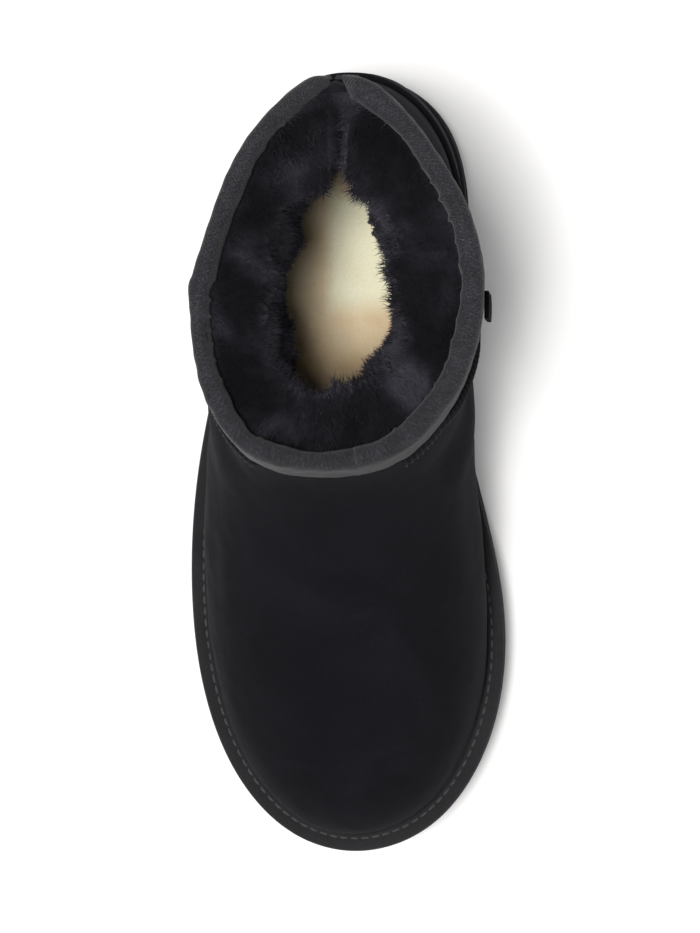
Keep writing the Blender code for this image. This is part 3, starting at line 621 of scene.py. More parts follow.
def thread_finish(name, dark, light, sheen):
    """Twisted thread: fine noise over a matt waxed cord."""
    finish = new_finish(name, dark, 0.8, {"Sheen Weight": sheen, "Specular IOR Level": 2.0 * sheen})
    ply = noise(finish, add_node(finish, "TexCoord", {}, OBJECT_PLACE), 2600.0, 3.0)
    wear_finish(finish, {
        "Base Color": ramp(finish, ply, (0.35, dark), (0.65, light)),
        "Normal": bumped(finish, ply, 0.5, 0.0002),
    })
    return finish


def tubes(paths, radii, sides, up):
    """Closed tubes carried along many paths of equal point counts, with a flat cap at each end.

    Each ring stands square to its path, turned so that its first point leans towards up.
    """
    count, steps = paths.shape[:2]
    heading = unit(np.gradient(paths, axis=1))
    first = np.cross(heading, np.broadcast_to(up, paths.shape))
    first = first / np.maximum(np.linalg.norm(first, axis=-1, keepdims=True), 1e-9)
    second = np.cross(heading, first)
    angles = np.arange(sides) * 2.0 * math.pi / sides
    spread = np.broadcast_to(radii, (count, steps))[..., None, None]
    ring = first[..., None, :] * np.cos(angles)[:, None] + second[..., None, :] * np.sin(angles)[:, None]
    points = paths[..., None, :] + ring * spread
    starts = (np.arange(count) * steps * sides)[:, None, None]
    walls = (grid_faces(steps, sides)[None] + starts).reshape(-1, 4)
    near = (np.arange(sides)[::-1][None] + starts[:, 0]).astype(int)
    far = (np.arange(sides)[None] + (steps - 1) * sides + starts[:, 0]).astype(int)
    return points, [walls, near, far]


def stitch_paths(middles, tangents, normals, length, radius, sink):
    """Bowed paths of stitches: straight along the tangent, with both ends dipping under the surface."""
    ways = np.linspace(-1.0, 1.0, 7)
    lift = radius * 0.55 - sink * np.abs(ways) ** 4
    flat = middles[:, None] + tangents[:, None] * (ways * length / 2.0)[:, None]
    return flat + normals[:, None] * lift[:, None]


# Painted light: the upper's suede made paler, to stand in for the light on the welt's flat top.
painted_light_welt_suede = suede_finish("painted_light_welt_suede", (0.0180, 0.0170, 0.0186), (0.0242, 0.0232, 0.0250), 0.10)
welt_shares = station_shares(260)
welt_inner = rim(welt_shares) - WELT_WALL_GAP
# across: share from the outer to the inner edge. up: share of the thickness
WELT_SECTION = (
    ("outer foot", 0.03, 0.00),
    ("outer side", 0.00, 0.28),
    ("outer shoulder", 0.01, 0.70),
    ("outer round", 0.07, 0.94),
    ("top outer", 0.20, 1.03),
    ("top", 0.42, 1.00),
    ("stitch hollow", 0.62, 0.90),
    ("stitch groove", 0.72, 0.80),
    ("inner swell", 0.84, 0.98),
    ("inner round", 0.96, 0.86),
    ("inner side", 1.00, 0.40),
    ("inner foot", 0.98, 0.00),
)
welt_across = column(WELT_SECTION, 1)[:, None]
welt_inset = WELT_SETBACK + welt_across * (welt_inner - WELT_SETBACK)
welt_plan = outline(np.broadcast_to(welt_shares, welt_inset.shape), welt_inset)[0]
welt_up = sole_top(welt_plan[..., 1]) + GAP + column(WELT_SECTION, 2)[:, None] * WELT_THICKNESS
welt_points = lifted(welt_plan, welt_up)
ruffle = wave_noise(welt_points, 0.009, 5) * 0.00016 + wave_noise(welt_points, 0.003, 6) * 0.00008
on_face = smooth_step(welt_across, 0.0, 0.1) * (welt_up > welt_up[0] + 0.0005)
welt_points[..., 2] += ruffle * on_face
add_piece(
    lay_mesh("suede_welt", welt_points, grid_faces(*welt_points.shape[:2], True), painted_light_welt_suede, 0.0, True),
    "welt_suede", "welt",
)

stitch_thread = thread_finish("grey_thread", (0.030, 0.030, 0.032), (0.062, 0.062, 0.065), 0.1)
stitch_count = int(OUTLINE_LENGTH / STITCH_PITCH)
stitch_shares = np.arange(stitch_count) / stitch_count
stitch_inset = WELT_SETBACK + STITCH_LINE * (rim(stitch_shares) - WELT_WALL_GAP - WELT_SETBACK)
stitch_plan, stitch_normals = outline(stitch_shares, stitch_inset)
stitch_middles = lifted(stitch_plan, sole_top(stitch_plan[:, 1]) + GAP + STITCH_LEVEL * WELT_THICKNESS)
stitch_along = np.column_stack((-stitch_normals[:, 1], stitch_normals[:, 0], np.zeros(stitch_count)))
stitch_up = np.broadcast_to((0.0, 0.0, 1.0), stitch_middles.shape)
welt_stitches = stitch_paths(
    stitch_middles, stitch_along, stitch_up, STITCH_LENGTH, STITCH_RADIUS, STITCH_SINK
)
stitch_points, stitch_faces = tubes(welt_stitches, STITCH_RADIUS, 6, (0.0, 0.0, 1.0))
add_piece(lay_mesh("welt_stitches", stitch_points, stitch_faces, stitch_thread), "seam_thread")


# The upper: sheepskin with its suede side out, a vamp and a shaft sewn into one hollow shell that
# bends at the instep. Its wall is as thick as the hide, and soft folds cross it at the ankle.
COLLAR_WIDTH = 0.0886
COLLAR_LENGTH = 0.1188
COLLAR_SIDE_SHIFT = 0.0047
COLLAR_BACK_SHIFT = 0.0572
COLLAR_FRONT_HEIGHT = 0.1285
COLLAR_BACK_HEIGHT = 0.1375
NOTCH_DEPTH = 0.007
NOTCH_WIDTH = 0.0055
MERIDIAN_LEAN = 0.085

# around: share around the foot. rise and drop: the two handles' heights as shares of the
# collar height. belly and ankle: how far each handle stands out, as shares of the ball width
UPPER_WALLS = (
    ("toe", 0.00, 0.39, 0.050, 0.52, 0.060),
    ("inner ball", 0.14, 0.29, 0.030, 0.46, 0.050),
    ("inner waist", 0.26, 0.26, 0.120, 0.38, -0.020),
    ("inner heel", 0.37, 0.24, 0.060, 0.36, -0.030),
    ("heel", 0.50, 0.25, 0.040, 0.36, 0.030),
    ("outer heel", 0.63, 0.24, 0.050, 0.36, -0.020),
    ("outer waist", 0.74, 0.26, 0.040, 0.38, -0.030),
    ("outer ball", 0.86, 0.29, 0.024, 0.46, 0.040),
)

# How far the collar leaves its ellipse. around: share from the front. push: share of ball width
COLLAR_FORM = (
    ("front", 0.000, 0.002),
    ("inner front", 0.075, 0.006),
    ("inner side", 0.170, 0.006),
    ("inner ankle", 0.250, 0.000),
    ("inner back", 0.333, -0.033),
    ("inner back corner", 0.375, -0.040),
    ("beside the notch", 0.430, -0.023),
    ("notch", 0.500, 0.002),
    ("beside the notch, outer", 0.570, -0.031),
    ("outer back corner", 0.625, -0.043),
    ("outer back", 0.694, -0.042),
    ("outer ankle", 0.750, -0.010),
    ("outer side", 0.806, 0.023),
    ("outer front corner", 0.861, 0.047),
    ("outer front", 0.917, 0.047),
    ("front, outer", 0.958, 0.021),
)

# Soft folds, placed in the boot's own millimetres. side: 1 inner, -1 outer, 0 seen from above.
# from and to: along and up on the sides, across and along from above. width: how far the fold fades
# out. depth: of the trough, and less than nothing for a ridge
FOLDS = (
    ("inner ankle trough", 1, 2, 92, 62, 70, 7.5, 1.5),
    ("inner ankle ridge", 1, -4, 80, 58, 57, 8.0, -1.0),
    ("inner vamp trough", 1, -36, 50, -8, 69, 7.0, 0.8),
    ("inner back dent", 1, 94, 84, 122, 88, 7.0, 1.0),
    ("outer ankle trough", -1, 6, 94, 68, 74, 7.5, 1.3),
    ("outer ankle ridge", -1, 0, 82, 62, 60, 8.0, -0.9),
    ("outer vamp trough", -1, -42, 48, -10, 66, 7.0, 0.7),
    ("outer back dent", -1, 92, 86, 122, 80, 7.0, 0.9),
    ("instep trough", 0, -26, -33, 24, -29, 8.0, 0.35),
    ("instep ridge", 0, -30, -48, 26, -44, 9.0, -0.25),
)


def collar_turn(shares):
    """Share around the collar that a share around the sole rises to."""
    return shares - MERIDIAN_LEAN * np.sin(2.0 * math.pi * shares)


def collar(shares):
    """Points of the collar's outer edge above the shares around the sole, and its outward directions."""
    turns = collar_turn(np.asarray(shares, float))
    angle = 2.0 * math.pi * turns
    outward = unit(np.stack((np.sin(angle) * COLLAR_LENGTH, -np.cos(angle) * COLLAR_WIDTH), axis=-1))
    push = read_table(COLLAR_FORM, 2, turns) * BALL_WIDTH
    across = COLLAR_SIDE_SHIFT + np.sin(angle) * COLLAR_WIDTH / 2.0 + outward[..., 0] * push
    along = COLLAR_BACK_SHIFT - np.cos(angle) * COLLAR_LENGTH / 2.0 + outward[..., 1] * push
    back = (1.0 - np.cos(angle)) / 2.0
    height = COLLAR_FRONT_HEIGHT + (COLLAR_BACK_HEIGHT - COLLAR_FRONT_HEIGHT) * back
    notch = np.exp(-((turns - 0.5) * math.pi * COLLAR_WIDTH / NOTCH_WIDTH) ** 2)
    return np.stack((across, along, height - NOTCH_DEPTH * notch), axis=-1), outward


def upper_surface(shares, ways):
    """Outer face of the upper: in each column a cubic curve from the sole's rim up to the collar."""
    shares = np.asarray(shares, float)
    ways = np.asarray(ways, float)
    ways = ways[:, None, None] if ways.ndim == 1 else ways[..., None]
    foot, foot_normals = outline(shares, rim(shares))
    foot = lifted(foot, sole_top(foot[:, 1]) + GAP)
    top, top_normals = collar(shares)
    rise, belly, drop, ankle = (read_table(UPPER_WALLS, index, shares) for index in (2, 3, 4, 5))
    height = COLLAR_BACK_HEIGHT
    low = foot + np.column_stack((foot_normals * (belly * BALL_WIDTH)[:, None], rise * height))
    high = top + np.column_stack((top_normals * (ankle * BALL_WIDTH)[:, None], -drop * height))
    left = 1.0 - ways
    return left ** 3 * foot + 3.0 * left ** 2 * ways * low + 3.0 * left * ways ** 2 * high + ways ** 3 * top


def upper_normals(shares, ways):
    """Directions straight out of the upper's outer face, from its slopes around and up."""
    small = 1e-4
    ways = np.asarray(ways, float)
    around = upper_surface(shares + small, ways) - upper_surface(shares - small, ways)
    up = upper_surface(shares, ways + small) - upper_surface(shares, ways - small)
    return unit(np.cross(around, up))


def fold_relief(points):
    """How far the suede stands out: soft troughs and ridges about lines, and a faint unevenness."""
    relief = 0.00022 * wave_noise(points, 0.030, 11) + 0.00007 * wave_noise(points, 0.010, 12)
    for _, side, from_a, from_b, to_a, to_b, width, depth in FOLDS:
        flat = points[..., 1:] if side else points[..., :2]
        start = np.array((from_a, from_b)) / 1000.0
        line = np.array((to_a, to_b)) / 1000.0 - start
        along = np.clip(((flat - start) @ line) / (line @ line), 0.0, 1.0)
        away = np.linalg.norm(flat - start - along[..., None] * line, axis=-1) * 1000.0 / width
        on_side = smooth_step(side * points[..., 0], 0.004, 0.016) if side else 1.0
        relief = relief - depth / 1000.0 * np.exp(-away ** 2) * on_side
    return relief * smooth_step(points[..., 2] - sole_top(points[..., 1]), 0.0, 0.012)


def upper_layer(shares, ways, depth=0.0):
    """A grid at a distance out of the folded upper, and the directions out of it."""
    base = upper_surface(shares, ways)
    normals = upper_normals(shares, ways)
    return base + normals * (fold_relief(base) + depth)[..., None], normals


boot_suede = suede_finish("boot_suede", (0.0053, 0.0050, 0.0066), (0.0080, 0.0077, 0.0100), 0.02)
upper_shares = station_shares(160)
upper_ways = np.linspace(0.0, 1.0, 97)
upper_points = upper_layer(upper_shares, upper_ways)[0]
upper_mesh = lay_mesh("suede_shell", upper_points, grid_faces(*upper_points.shape[:2]), boot_suede)
upper = add_piece(upper_mesh, "upper_suede", "upper")
wall = upper.modifiers.new("wall", "SOLIDIFY")
wall.thickness = UPPER_WALL
wall.offset = -1.0
wall.use_even_offset = True


# The fleece: the wool side of the same hide, dyed black, deep around the shaft and thin around
# the foot. It stands in dense curly locks that part in dark clefts and crowd the opening.
LINING_GAP = 0.0007
LINING_HEM = 0.0011
FOOT_PILE = 0.0080
SHAFT_PILE = 0.0230
SHAFT_CORE = 0.0380
LOCK_WAYS = np.array((0.0, 0.55, 1.0))
LOCK_LENGTH = 0.0042
LOCK_RADIUS = 0.00017
LOCK_ROOT = 0.25
LOCK_LEAN = 0.55
LOCK_CURL = 0.0006
LOCK_GATHER = 0.16
LOW_LOCKS = 0.27
CLUMP_TIP = 0.003
LOCK_COUNT = 52000
LOCK_PIECES = 4
CLUMP_COUNT = 430
TUFT_COUNT = 2400
CLUMP_CLEFT = 0.0048
TUFT_CLEFT = 0.0010
PILE_WAVE = 0.0024
PILE_SINK = 0.0012
BACK_CLEFT = 0.0034
SHOULDER_SWELL = 0.0022
NOTCH_SHOULDER_SWELL = 0.0026
NOTCH_TUFT = 0.0085
NOTCH_FILL = 0.0034

# Heights between which the swells below fade out, and shares of the way up between which the
# shaft's pile grows deep and is clipped short again under the binding
SWELL_FADE = (0.098, 0.125)
SHAFT_BAND = (0.60, 0.80)
HEM_BAND = (0.92, 0.96)

# Where locks crowd the view down to the footbed. turn: share from the front at the pile's face.
# swell: millimetres
PILE_SWELLS = (
    ("front", 0.000, 0.8),
    ("beside the front", 0.040, 3.2),
    ("inner front corner", 0.075, 7.8),
    ("inner front", 0.118, 3.0),
    ("inner side", 0.190, 0.0),
    ("inner ankle", 0.306, 1.4),
    ("inner back", 0.415, 2.6),
    ("inner back corner", 0.447, 3.4),
    ("back", 0.487, -0.2),
    ("beside the back", 0.540, -1.6),
    ("outer back, near", 0.580, -1.6),
    ("outer back", 0.615, 0.6),
    ("outer back corner", 0.652, 2.6),
    ("outer ankle", 0.692, 1.2),
    ("outer side", 0.740, 1.0),
    ("outer side, ahead", 0.800, 3.0),
    ("outer front", 0.860, 5.6),
    ("outer front corner", 0.910, 7.6),
    ("beside the front, outer", 0.950, 4.2),
    ("front, outer", 0.980, 0.3),
)

# around: share from the front. above and below: shares of SHAFT_PILE under the collar and over the footbed
PILE_DEPTH = (
    ("front", 0.00, 1.22, 0.96),
    ("inner front", 0.10, 1.08, 0.91),
    ("inner side", 0.20, 1.00, 0.74),
    ("inner back", 0.40, 1.02, 1.05),
    ("back", 0.50, 1.04, 0.92),
    ("outer back", 0.62, 0.96, 0.80),
    ("outer side", 0.74, 0.82, 0.50),
    ("outer front", 0.88, 1.00, 0.95),
)


def hem_share(ways):
    """One where the pile is clipped short under the binding, zero below it."""
    return smooth_step(ways, *HEM_BAND)


def shaft_share(points, ways):
    """One where the deep pile of the shaft lines the wall, zero around the foot."""
    behind = smooth_step(points[..., 1], 0.0, 0.12 * SOLE_LENGTH)
    return np.maximum(smooth_step(ways, *SHAFT_BAND), behind)


def shaft_turns(points):
    """Share around the shaft from the front, for each point."""
    across = points[..., 0] - COLLAR_SIDE_SHIFT
    along = points[..., 1] - COLLAR_BACK_SHIFT
    return np.mod(np.arctan2(across / COLLAR_WIDTH, -along / COLLAR_LENGTH) / (2.0 * math.pi), 1.0)


def pile_depth(points, ways):
    """Depth of the fleece: deep around the shaft, thin around the foot, a clipped hem on top."""
    turns = shaft_turns(points)
    above, below = (read_table(PILE_DEPTH, index, turns) for index in (2, 3))
    height = smooth_step(points[..., 2], HEEL_THICKNESS, 0.75 * COLLAR_BACK_HEIGHT)
    deep = SHAFT_PILE * (below * (1.0 - height) + above * height)
    depth = FOOT_PILE + (deep - FOOT_PILE) * shaft_share(points, ways)
    return depth + (LINING_HEM - depth) * hem_share(ways)


def pile_direction(points, normals, ways):
    """Directions in which the pile stands: square to the foot's wall, towards the core of the shaft."""
    core = np.zeros_like(points)
    core[..., 0] = COLLAR_SIDE_SHIFT
    half = (COLLAR_LENGTH - 2.0 * SHAFT_CORE) / 2.0
    core[..., 1] = np.clip(points[..., 1], COLLAR_BACK_SHIFT - half, COLLAR_BACK_SHIFT + half)
    core[..., 2] = points[..., 2]
    share = (shaft_share(points, ways) * (1.0 - hem_share(ways)))[..., None]
    return unit(unit(core - points) * share - normals * (1.0 - share))


def nearest_centres(points, centres):
    """For each point the number of its nearest centre, and the distances of the nearest two."""
    flat = points.reshape(-1, 3)
    gaps = (flat ** 2).sum(axis=1)[:, None] + (centres ** 2).sum(axis=1)[None] - 2.0 * flat @ centres.T
    nearest = np.argpartition(gaps, 1, axis=1)[:, :2]
    two = np.sqrt(np.maximum(np.take_along_axis(gaps, nearest, axis=1), 0.0))
    order = np.argsort(two, axis=1)
    two = np.take_along_axis(two, order, axis=1)
    nearest = np.take_along_axis(nearest, order, axis=1)
    shape = points.shape[:-1]
    return nearest[:, 0].reshape(shape), two[:, 0].reshape(shape), two[:, 1].reshape(shape)


def read_grid(grid, rows, places):
    """Values of a grid at broken row numbers and at broken column numbers that close on themselves."""
    low = np.clip(rows.astype(int), 0, len(grid) - 2)
    left = places.astype(int) % grid.shape[1]
    right = (left + 1) % grid.shape[1]
    up = (rows - low)[:, None]
    over = (places - np.floor(places))[:, None]
    below = grid[low, left] * (1.0 - over) + grid[low, right] * over
    above = grid[low + 1, left] * (1.0 - over) + grid[low + 1, right] * over
    return below * (1.0 - up) + above * up


wool = new_finish("black_wool", (0.008, 0.008, 0.011), 0.95, {
    "Specular IOR Level": 0.06,
    "Sheen Weight": 0.12,
    "Sheen Roughness": 0.6,
    "Sheen Tint": (0.86, 0.82, 1.0, 1.0),
})
place = add_node(wool, "TexCoord", {}, OBJECT_PLACE)
# Painted highlight: a soft pale spot on the pile at its outer front, added to the dye's random tone.
painted_highlight_spot = round_spot(wool, place, (-0.022, 0.028, 0.100), 0.036, 0.008, 0.13)
mist = joined(wool, noise(wool, place, 58.0, 2.0, 0.45, 0.4), painted_highlight_spot)
dye_and_painted_highlight = ramp(
    wool, mist, (0.34, (0.0027, 0.0025, 0.0031)), (0.50, (0.0055, 0.0051, 0.0067)),
    (0.60, (0.0120, 0.0113, 0.0150)), (0.72, (0.0330, 0.0316, 0.0405)),
)
# Painted shade: by the tip attribute the wool is darker down at its roots and in the clefts between clumps,
# and paler at its tips.
tip = add_node(wool, "Attribute", {}, 2, attribute_name="tip")
wear_finish(wool, {
    "Base Color": toned(wool, dye_and_painted_highlight, ramp(wool, tip, (0.0, 0.30), (0.55, 0.9), (1.0, 1.35))),
    "Normal": bumped(wool, noise(wool, place, 700.0, 4.0, 0.5, 1.0), 0.5, 0.0004),
})


def add_tip_shade(mesh, values):
    """Stores how near each point is to the tips of the wool, by which the material paints shade towards the
    roots.
    """
    layer = mesh.attributes.new("tip", "FLOAT", "POINT")
    layer.data.foreach_set("value", np.asarray(values, np.float32).ravel())


pile_shares = np.arange(260) / 260.0
pile_ways = np.linspace(0.055, 1.0, 74)
pile_outer = upper_layer(pile_shares, pile_ways, -(UPPER_WALL + LINING_GAP))[0]
ways_down = pile_ways[:, None]
pile_way = pile_direction(pile_outer, upper_normals(pile_shares, pile_ways), ways_down)
deep = pile_depth(pile_outer, ways_down)
flat_pile = pile_outer + pile_way * deep[..., None]
draw = np.random.default_rng(21)
clump_centres, tuft_centres = (
    read_grid(
        flat_pile, draw.uniform(0.0, len(pile_ways) - 1.0, count), draw.uniform(0.0, len(pile_shares), count)
    )
    for count in (CLUMP_COUNT, TUFT_COUNT)
)
_, clump_near, clump_next = nearest_centres(flat_pile, clump_centres)
_, tuft_near, tuft_next = nearest_centres(flat_pile, tuft_centres)
open_pile = 1.0 - hem_share(ways_down)
clump_relief = -CLUMP_CLEFT * (clump_near / clump_next) ** 3 - TUFT_CLEFT * (tuft_near / tuft_next) ** 3
clump_relief += PILE_WAVE * wave_noise(flat_pile, 0.030, 22)


def beside_notch(points, middle, width):
    """One at a distance across from the back notch, fading to zero as a bell curve of the width."""
    return np.exp(-((points[..., 0] - COLLAR_SIDE_SHIFT - middle) / width) ** 2)


at_back = smooth_step(pile_outer[..., 1], COLLAR_BACK_SHIFT, COLLAR_BACK_SHIFT + COLLAR_LENGTH / 3.0)
clump_relief -= BACK_CLEFT * beside_notch(pile_outer, -0.001, 0.0045) * at_back
low_in = 1.0 - smooth_step(pile_outer[..., 2], *SWELL_FADE)
swells = read_table(PILE_SWELLS, 2, shaft_turns(flat_pile)) / 1000.0
clump_relief += swells * low_in * shaft_share(pile_outer, ways_down)
notch_tuft = NOTCH_TUFT * beside_notch(pile_outer, -0.003, 0.0070) * at_back * (1.0 - open_pile)
notch_tuft = notch_tuft * (1.0 - 0.95 * smooth_step(ways_down, 0.93, 1.0))
notch_fill = NOTCH_FILL * beside_notch(pile_outer, 0.0, 0.0030) * at_back * smooth_step(ways_down, 0.965, 1.0)
pile_inner = flat_pile + pile_way * ((clump_relief - PILE_SINK) * open_pile + notch_tuft)[..., None]
shoulder = smooth_step(ways_down, 0.74, 0.90) * open_pile
swell = SHOULDER_SWELL + NOTCH_SHOULDER_SWELL * beside_notch(pile_outer, -0.007, 0.008) * at_back
pile_inner[..., 2] += shoulder * swell + 0.2 * notch_tuft + notch_fill
pile_outer += notch_fill[..., None] * np.array((0.0, 0.6, 1.0))
bed_height = sole_top(pile_outer[0, :, 1]) + GAP + INSOLE_THICKNESS + GAP
pile_outer[0, :, 2] = bed_height
pile_inner[0, :, 2] = bed_height
pile_points = np.concatenate((pile_outer, pile_inner[::-1]))
fleece_mesh = lay_mesh("fleece_base", pile_points, grid_faces(*pile_points.shape[:2], True), wool, 0.0, True)
# Painted shade: the pile's face takes lower tip values, and so darker colour, in its clefts.
tip_rows = np.concatenate((np.zeros_like(deep), (0.62 + 110.0 * clump_relief)[::-1]))
add_tip_shade(fleece_mesh, np.clip(tip_rows, 0.02, 0.75))
add_piece(fleece_mesh, "fleece", "fleece_lining")


def spikes(paths, radii, aside, aloft):
    """Thin three-sided hairs: rings along each path that end in a point.

    Gives their points, their faces and the directions out of them.
    """
    count, steps = paths.shape[:2]
    angles = np.arange(3) * 2.0 * math.pi / 3.0
    spread = aside[:, None, None] * np.cos(angles)[:, None] + aloft[:, None, None] * np.sin(angles)[:, None]
    rings = paths[:, :-1, None] + spread * radii[:, None, None]
    points = np.concatenate((rings.reshape(count, -1, 3), paths[:, -1:]), axis=1)
    ring_outs = np.broadcast_to(spread, rings.shape).reshape(count, -1, 3)
    outs = np.concatenate((ring_outs, paths[:, -1:] - paths[:, -2:-1]), axis=1)
    starts = (np.arange(count) * points.shape[1])[:, None, None]
    walls = (grid_faces(steps - 1, 3)[None] + starts).reshape(-1, 4)
    last = (steps - 2) * 3 + np.arange(3)
    caps = np.column_stack((last, np.roll(last, -1), np.full(3, (steps - 1) * 3)))
    return points, [walls, (caps[None] + starts).reshape(-1, 3)], unit(outs)


def grid_reach(rows, places, row_step, place_step):
    """Distance on the pile's face between the spots a step before and a step after each spot."""
    after = read_grid(pile_inner, rows + row_step, places + place_step)
    return np.linalg.norm(after - read_grid(pile_inner, rows - row_step, places - place_step), axis=1)


# Hairs grow where the shaft can be looked into. They lean together at the tip of their clump, and
# take the light as the soft face of the whole pile does.
pile_around = np.roll(pile_inner, -1, axis=1) - np.roll(pile_inner, 1, axis=1)
pile_out = unit(np.cross(np.gradient(pile_inner, axis=0), pile_around))
pile_out = pile_out * np.sign((pile_out * pile_way).sum(axis=-1, keepdims=True))
for number in range(LOCK_PIECES):
    draw = np.random.default_rng(40 + number)
    trial = 9 * LOCK_COUNT // LOCK_PIECES
    rows = draw.uniform(2.0, len(pile_ways) - 1.01, trial)
    places = draw.uniform(0.0, len(pile_shares), trial)
    roots = read_grid(pile_inner, rows, places)
    area = grid_reach(rows, places, 0.0, 0.5) * grid_reach(rows, places, 0.5, 0.0)
    reach = smooth_step(roots[:, 1], -0.022, 0.004) * (0.75 + 0.25 * smooth_step(roots[:, 2], 0.02, 0.06))
    in_notch = beside_notch(roots, -0.003, 0.008) * (roots[:, 1] > COLLAR_BACK_SHIFT)
    hem = smooth_step(rows, len(pile_ways) - 5.0, len(pile_ways) - 3.0)
    weight = area * reach * (1.0 - hem + 9.0 * hem * in_notch)
    keep = draw.uniform(0.0, 1.0, trial) < weight * (LOCK_COUNT / LOCK_PIECES) / weight.sum()
    rows, places, roots, hem = rows[keep], places[keep], roots[keep], hem[keep]
    direction = read_grid(pile_way, rows, places)
    facing = read_grid(pile_out, rows, places)
    shades = draw.uniform(0.8, 1.2, len(roots))
    around = unit(read_grid(pile_inner, rows, places + 1.0) - roots)
    aloft = np.cross(facing, around)
    lean = draw.normal(0.0, LOCK_LEAN, (len(roots), 2))
    heading = 0.6 * direction + 0.6 * facing + around * lean[:, :1] + aloft * lean[:, 1:]
    crown = smooth_step(rows, 0.74 * len(pile_ways), 0.90 * len(pile_ways))
    heading[:, 2] += 0.7 * crown
    heading = unit(heading)
    low_down = LOW_LOCKS + (1.0 - LOW_LOCKS) * smooth_step(roots[:, 2], 0.062, 0.104)
    length = LOCK_LENGTH * low_down * (1.0 + 0.35 * crown * (1.0 - hem))
    length = (length * draw.uniform(0.55, 1.25, len(roots)))[:, None, None]
    ways = LOCK_WAYS[None, :, None]
    clump, _, _ = nearest_centres(roots, clump_centres)
    gather = clump_centres[clump] + direction * CLUMP_TIP - roots
    gather = gather - heading * (gather * heading).sum(axis=1, keepdims=True)
    turns = draw.uniform(0.4, 0.9, len(roots))[:, None] * LOCK_WAYS
    turns = turns + draw.uniform(0.0, 1.0, len(roots))[:, None]
    curl = around[:, None] * (np.cos(2.0 * math.pi * turns) * LOCK_CURL * LOCK_WAYS)[..., None]
    curl = curl + aloft[:, None] * (np.sin(2.0 * math.pi * turns) * LOCK_CURL * LOCK_WAYS)[..., None]
    paths = roots[:, None] + heading[:, None] * ((ways - LOCK_ROOT) * length)
    paths = paths + gather[:, None] * (LOCK_GATHER * ways ** 2) + curl
    hair_points, hair_faces, hair_outs = spikes(paths, LOCK_RADIUS * np.array((1.0, 0.75)), around, aloft)
    hair_mesh = lay_mesh(f"fleece_hairs_{number + 1}", hair_points, hair_faces, wool)
    hair_mesh.normals_split_custom_set_from_vertices(unit(facing[:, None] + 0.45 * hair_outs).reshape(-1, 3))
    add_tip_shade(hair_mesh, np.repeat(LOCK_WAYS, (3, 3, 1)) * shades[:, None])
    add_piece(hair_mesh, "fleece")


# The collar binding: a heathered woven tape folded over the edge of suede and fleece and sewn
# through, drawn up in small puckers inside. Its two ends part at the back notch and curl up.
BINDING_TAPE = 0.0009
BINDING_OUTER_LEG = 0.0110
BINDING_EASE = 0.0004
BINDING_PARTING = 0.0036
TAPE_EDGE_SHARE = 0.62
TAPE_WAVE = 0.00042
TAPE_NAP = 0.00012
OUTER_END_CURL = 0.0034
OUTER_END_PINCH = 0.0032
INNER_END_CURL = 0.0008
INNER_END_SLANT = 0.0034
OUTER_KINK = 0.0009
PUCKER_PITCH = 0.0072
PUCKER_HEIGHT = 0.00034
JOIN_DENT = 0.0007
JOIN_WIDTH = 0.0009

# out and up: the middle of the tape in millimetres from the collar's edge. inward: how far a row follows
# the puckers and the width of the fold
BINDING_FOLD = (
    ("outer edge", 0.80, -11.0, 0.0),
    ("outer leg", 0.92, -7.0, 0.0),
    ("outer leg top", 0.90, -2.8, 0.0),
    ("outer shoulder", 0.60, 0.3, 0.0),
    ("top outer", -0.50, 1.25, 0.1),
    ("top", -1.90, 1.55, 0.4),
    ("top inner", -3.50, 1.20, 0.8),
    ("inner shoulder", -4.60, -0.3, 1.0),
    ("inner leg", -4.90, -2.8, 0.9),
    ("inner edge", -4.70, -5.4, 0.6),
)

# How much farther in the fold lies than its narrowest place. turn: share around the collar from the
# front. farther: millimetres
BINDING_SPREAD = (
    ("front", 0.00, 0.2),
    ("inner front", 0.08, 1.5),
    ("inner side", 0.19, 1.2),
    ("inner ankle", 0.28, 0.7),
    ("inner back", 0.38, 0.0),
    ("inner end", 0.47, 1.3),
    ("outer end", 0.53, 0.2),
    ("outer back", 0.62, 0.0),
    ("outer ankle", 0.74, 0.0),
    ("outer side", 0.82, 0.0),
    ("outer front", 0.92, 0.1),
)

# Where the tape is pieced. turn: share around the collar
TAPE_JOINS = (("inner side", 0.253), ("front", 0.020), ("outer kink", 0.752))


def rounded_path(corners, count):
    """Corners of an open path read at even steps and softened."""
    steps = path_lengths(corners[:, :2])
    path = read_path(corners, steps, np.linspace(0.0, steps[-1], count))
    soften(path, 3)
    return path


tape_finish = new_finish("heathered_tape", (0.035, 0.035, 0.042), 0.82, {
    "Specular IOR Level": 0.12, "Sheen Weight": 0.10, "Sheen Roughness": 0.5,
})
weave_spot = add_node(tape_finish, "TexCoord", {}, FLAT_MAP)
rib = add_node(tape_finish, "TexWave", {
    "Vector": weave_spot, "Scale": 330.0, "Distortion": 1.2, "Detail": 2.0, "Detail Scale": 2.5,
}, 1, bands_direction="DIAGONAL")
weft = add_node(tape_finish, "TexWave", {
    "Vector": weave_spot, "Scale": 420.0, "Distortion": 0.8, "Detail": 1.0,
}, 1, bands_direction="Y")
fleck = noise(tape_finish, weave_spot, 1500.0, 3.0, 0.8)
heather = ramp(
    tape_finish, fleck, (0.36, (0.011, 0.0105, 0.0130)), (0.50, (0.020, 0.0195, 0.0235)),
    (0.60, (0.042, 0.041, 0.048)), (0.72, (0.092, 0.091, 0.103)),
)
shade = ramp(tape_finish, noise(tape_finish, weave_spot, 160.0, 3.0), (0.3, 0.75), (0.7, 1.12))
woven = joined(tape_finish, rib, weft)
woven_tone = ramp(tape_finish, woven, (0.2, 0.82), (0.9, 1.06))
wear_finish(tape_finish, {
    "Base Color": toned(tape_finish, toned(tape_finish, heather, shade), woven_tone),
    "Normal": bumped(tape_finish, woven, 0.55, 0.00022),
})

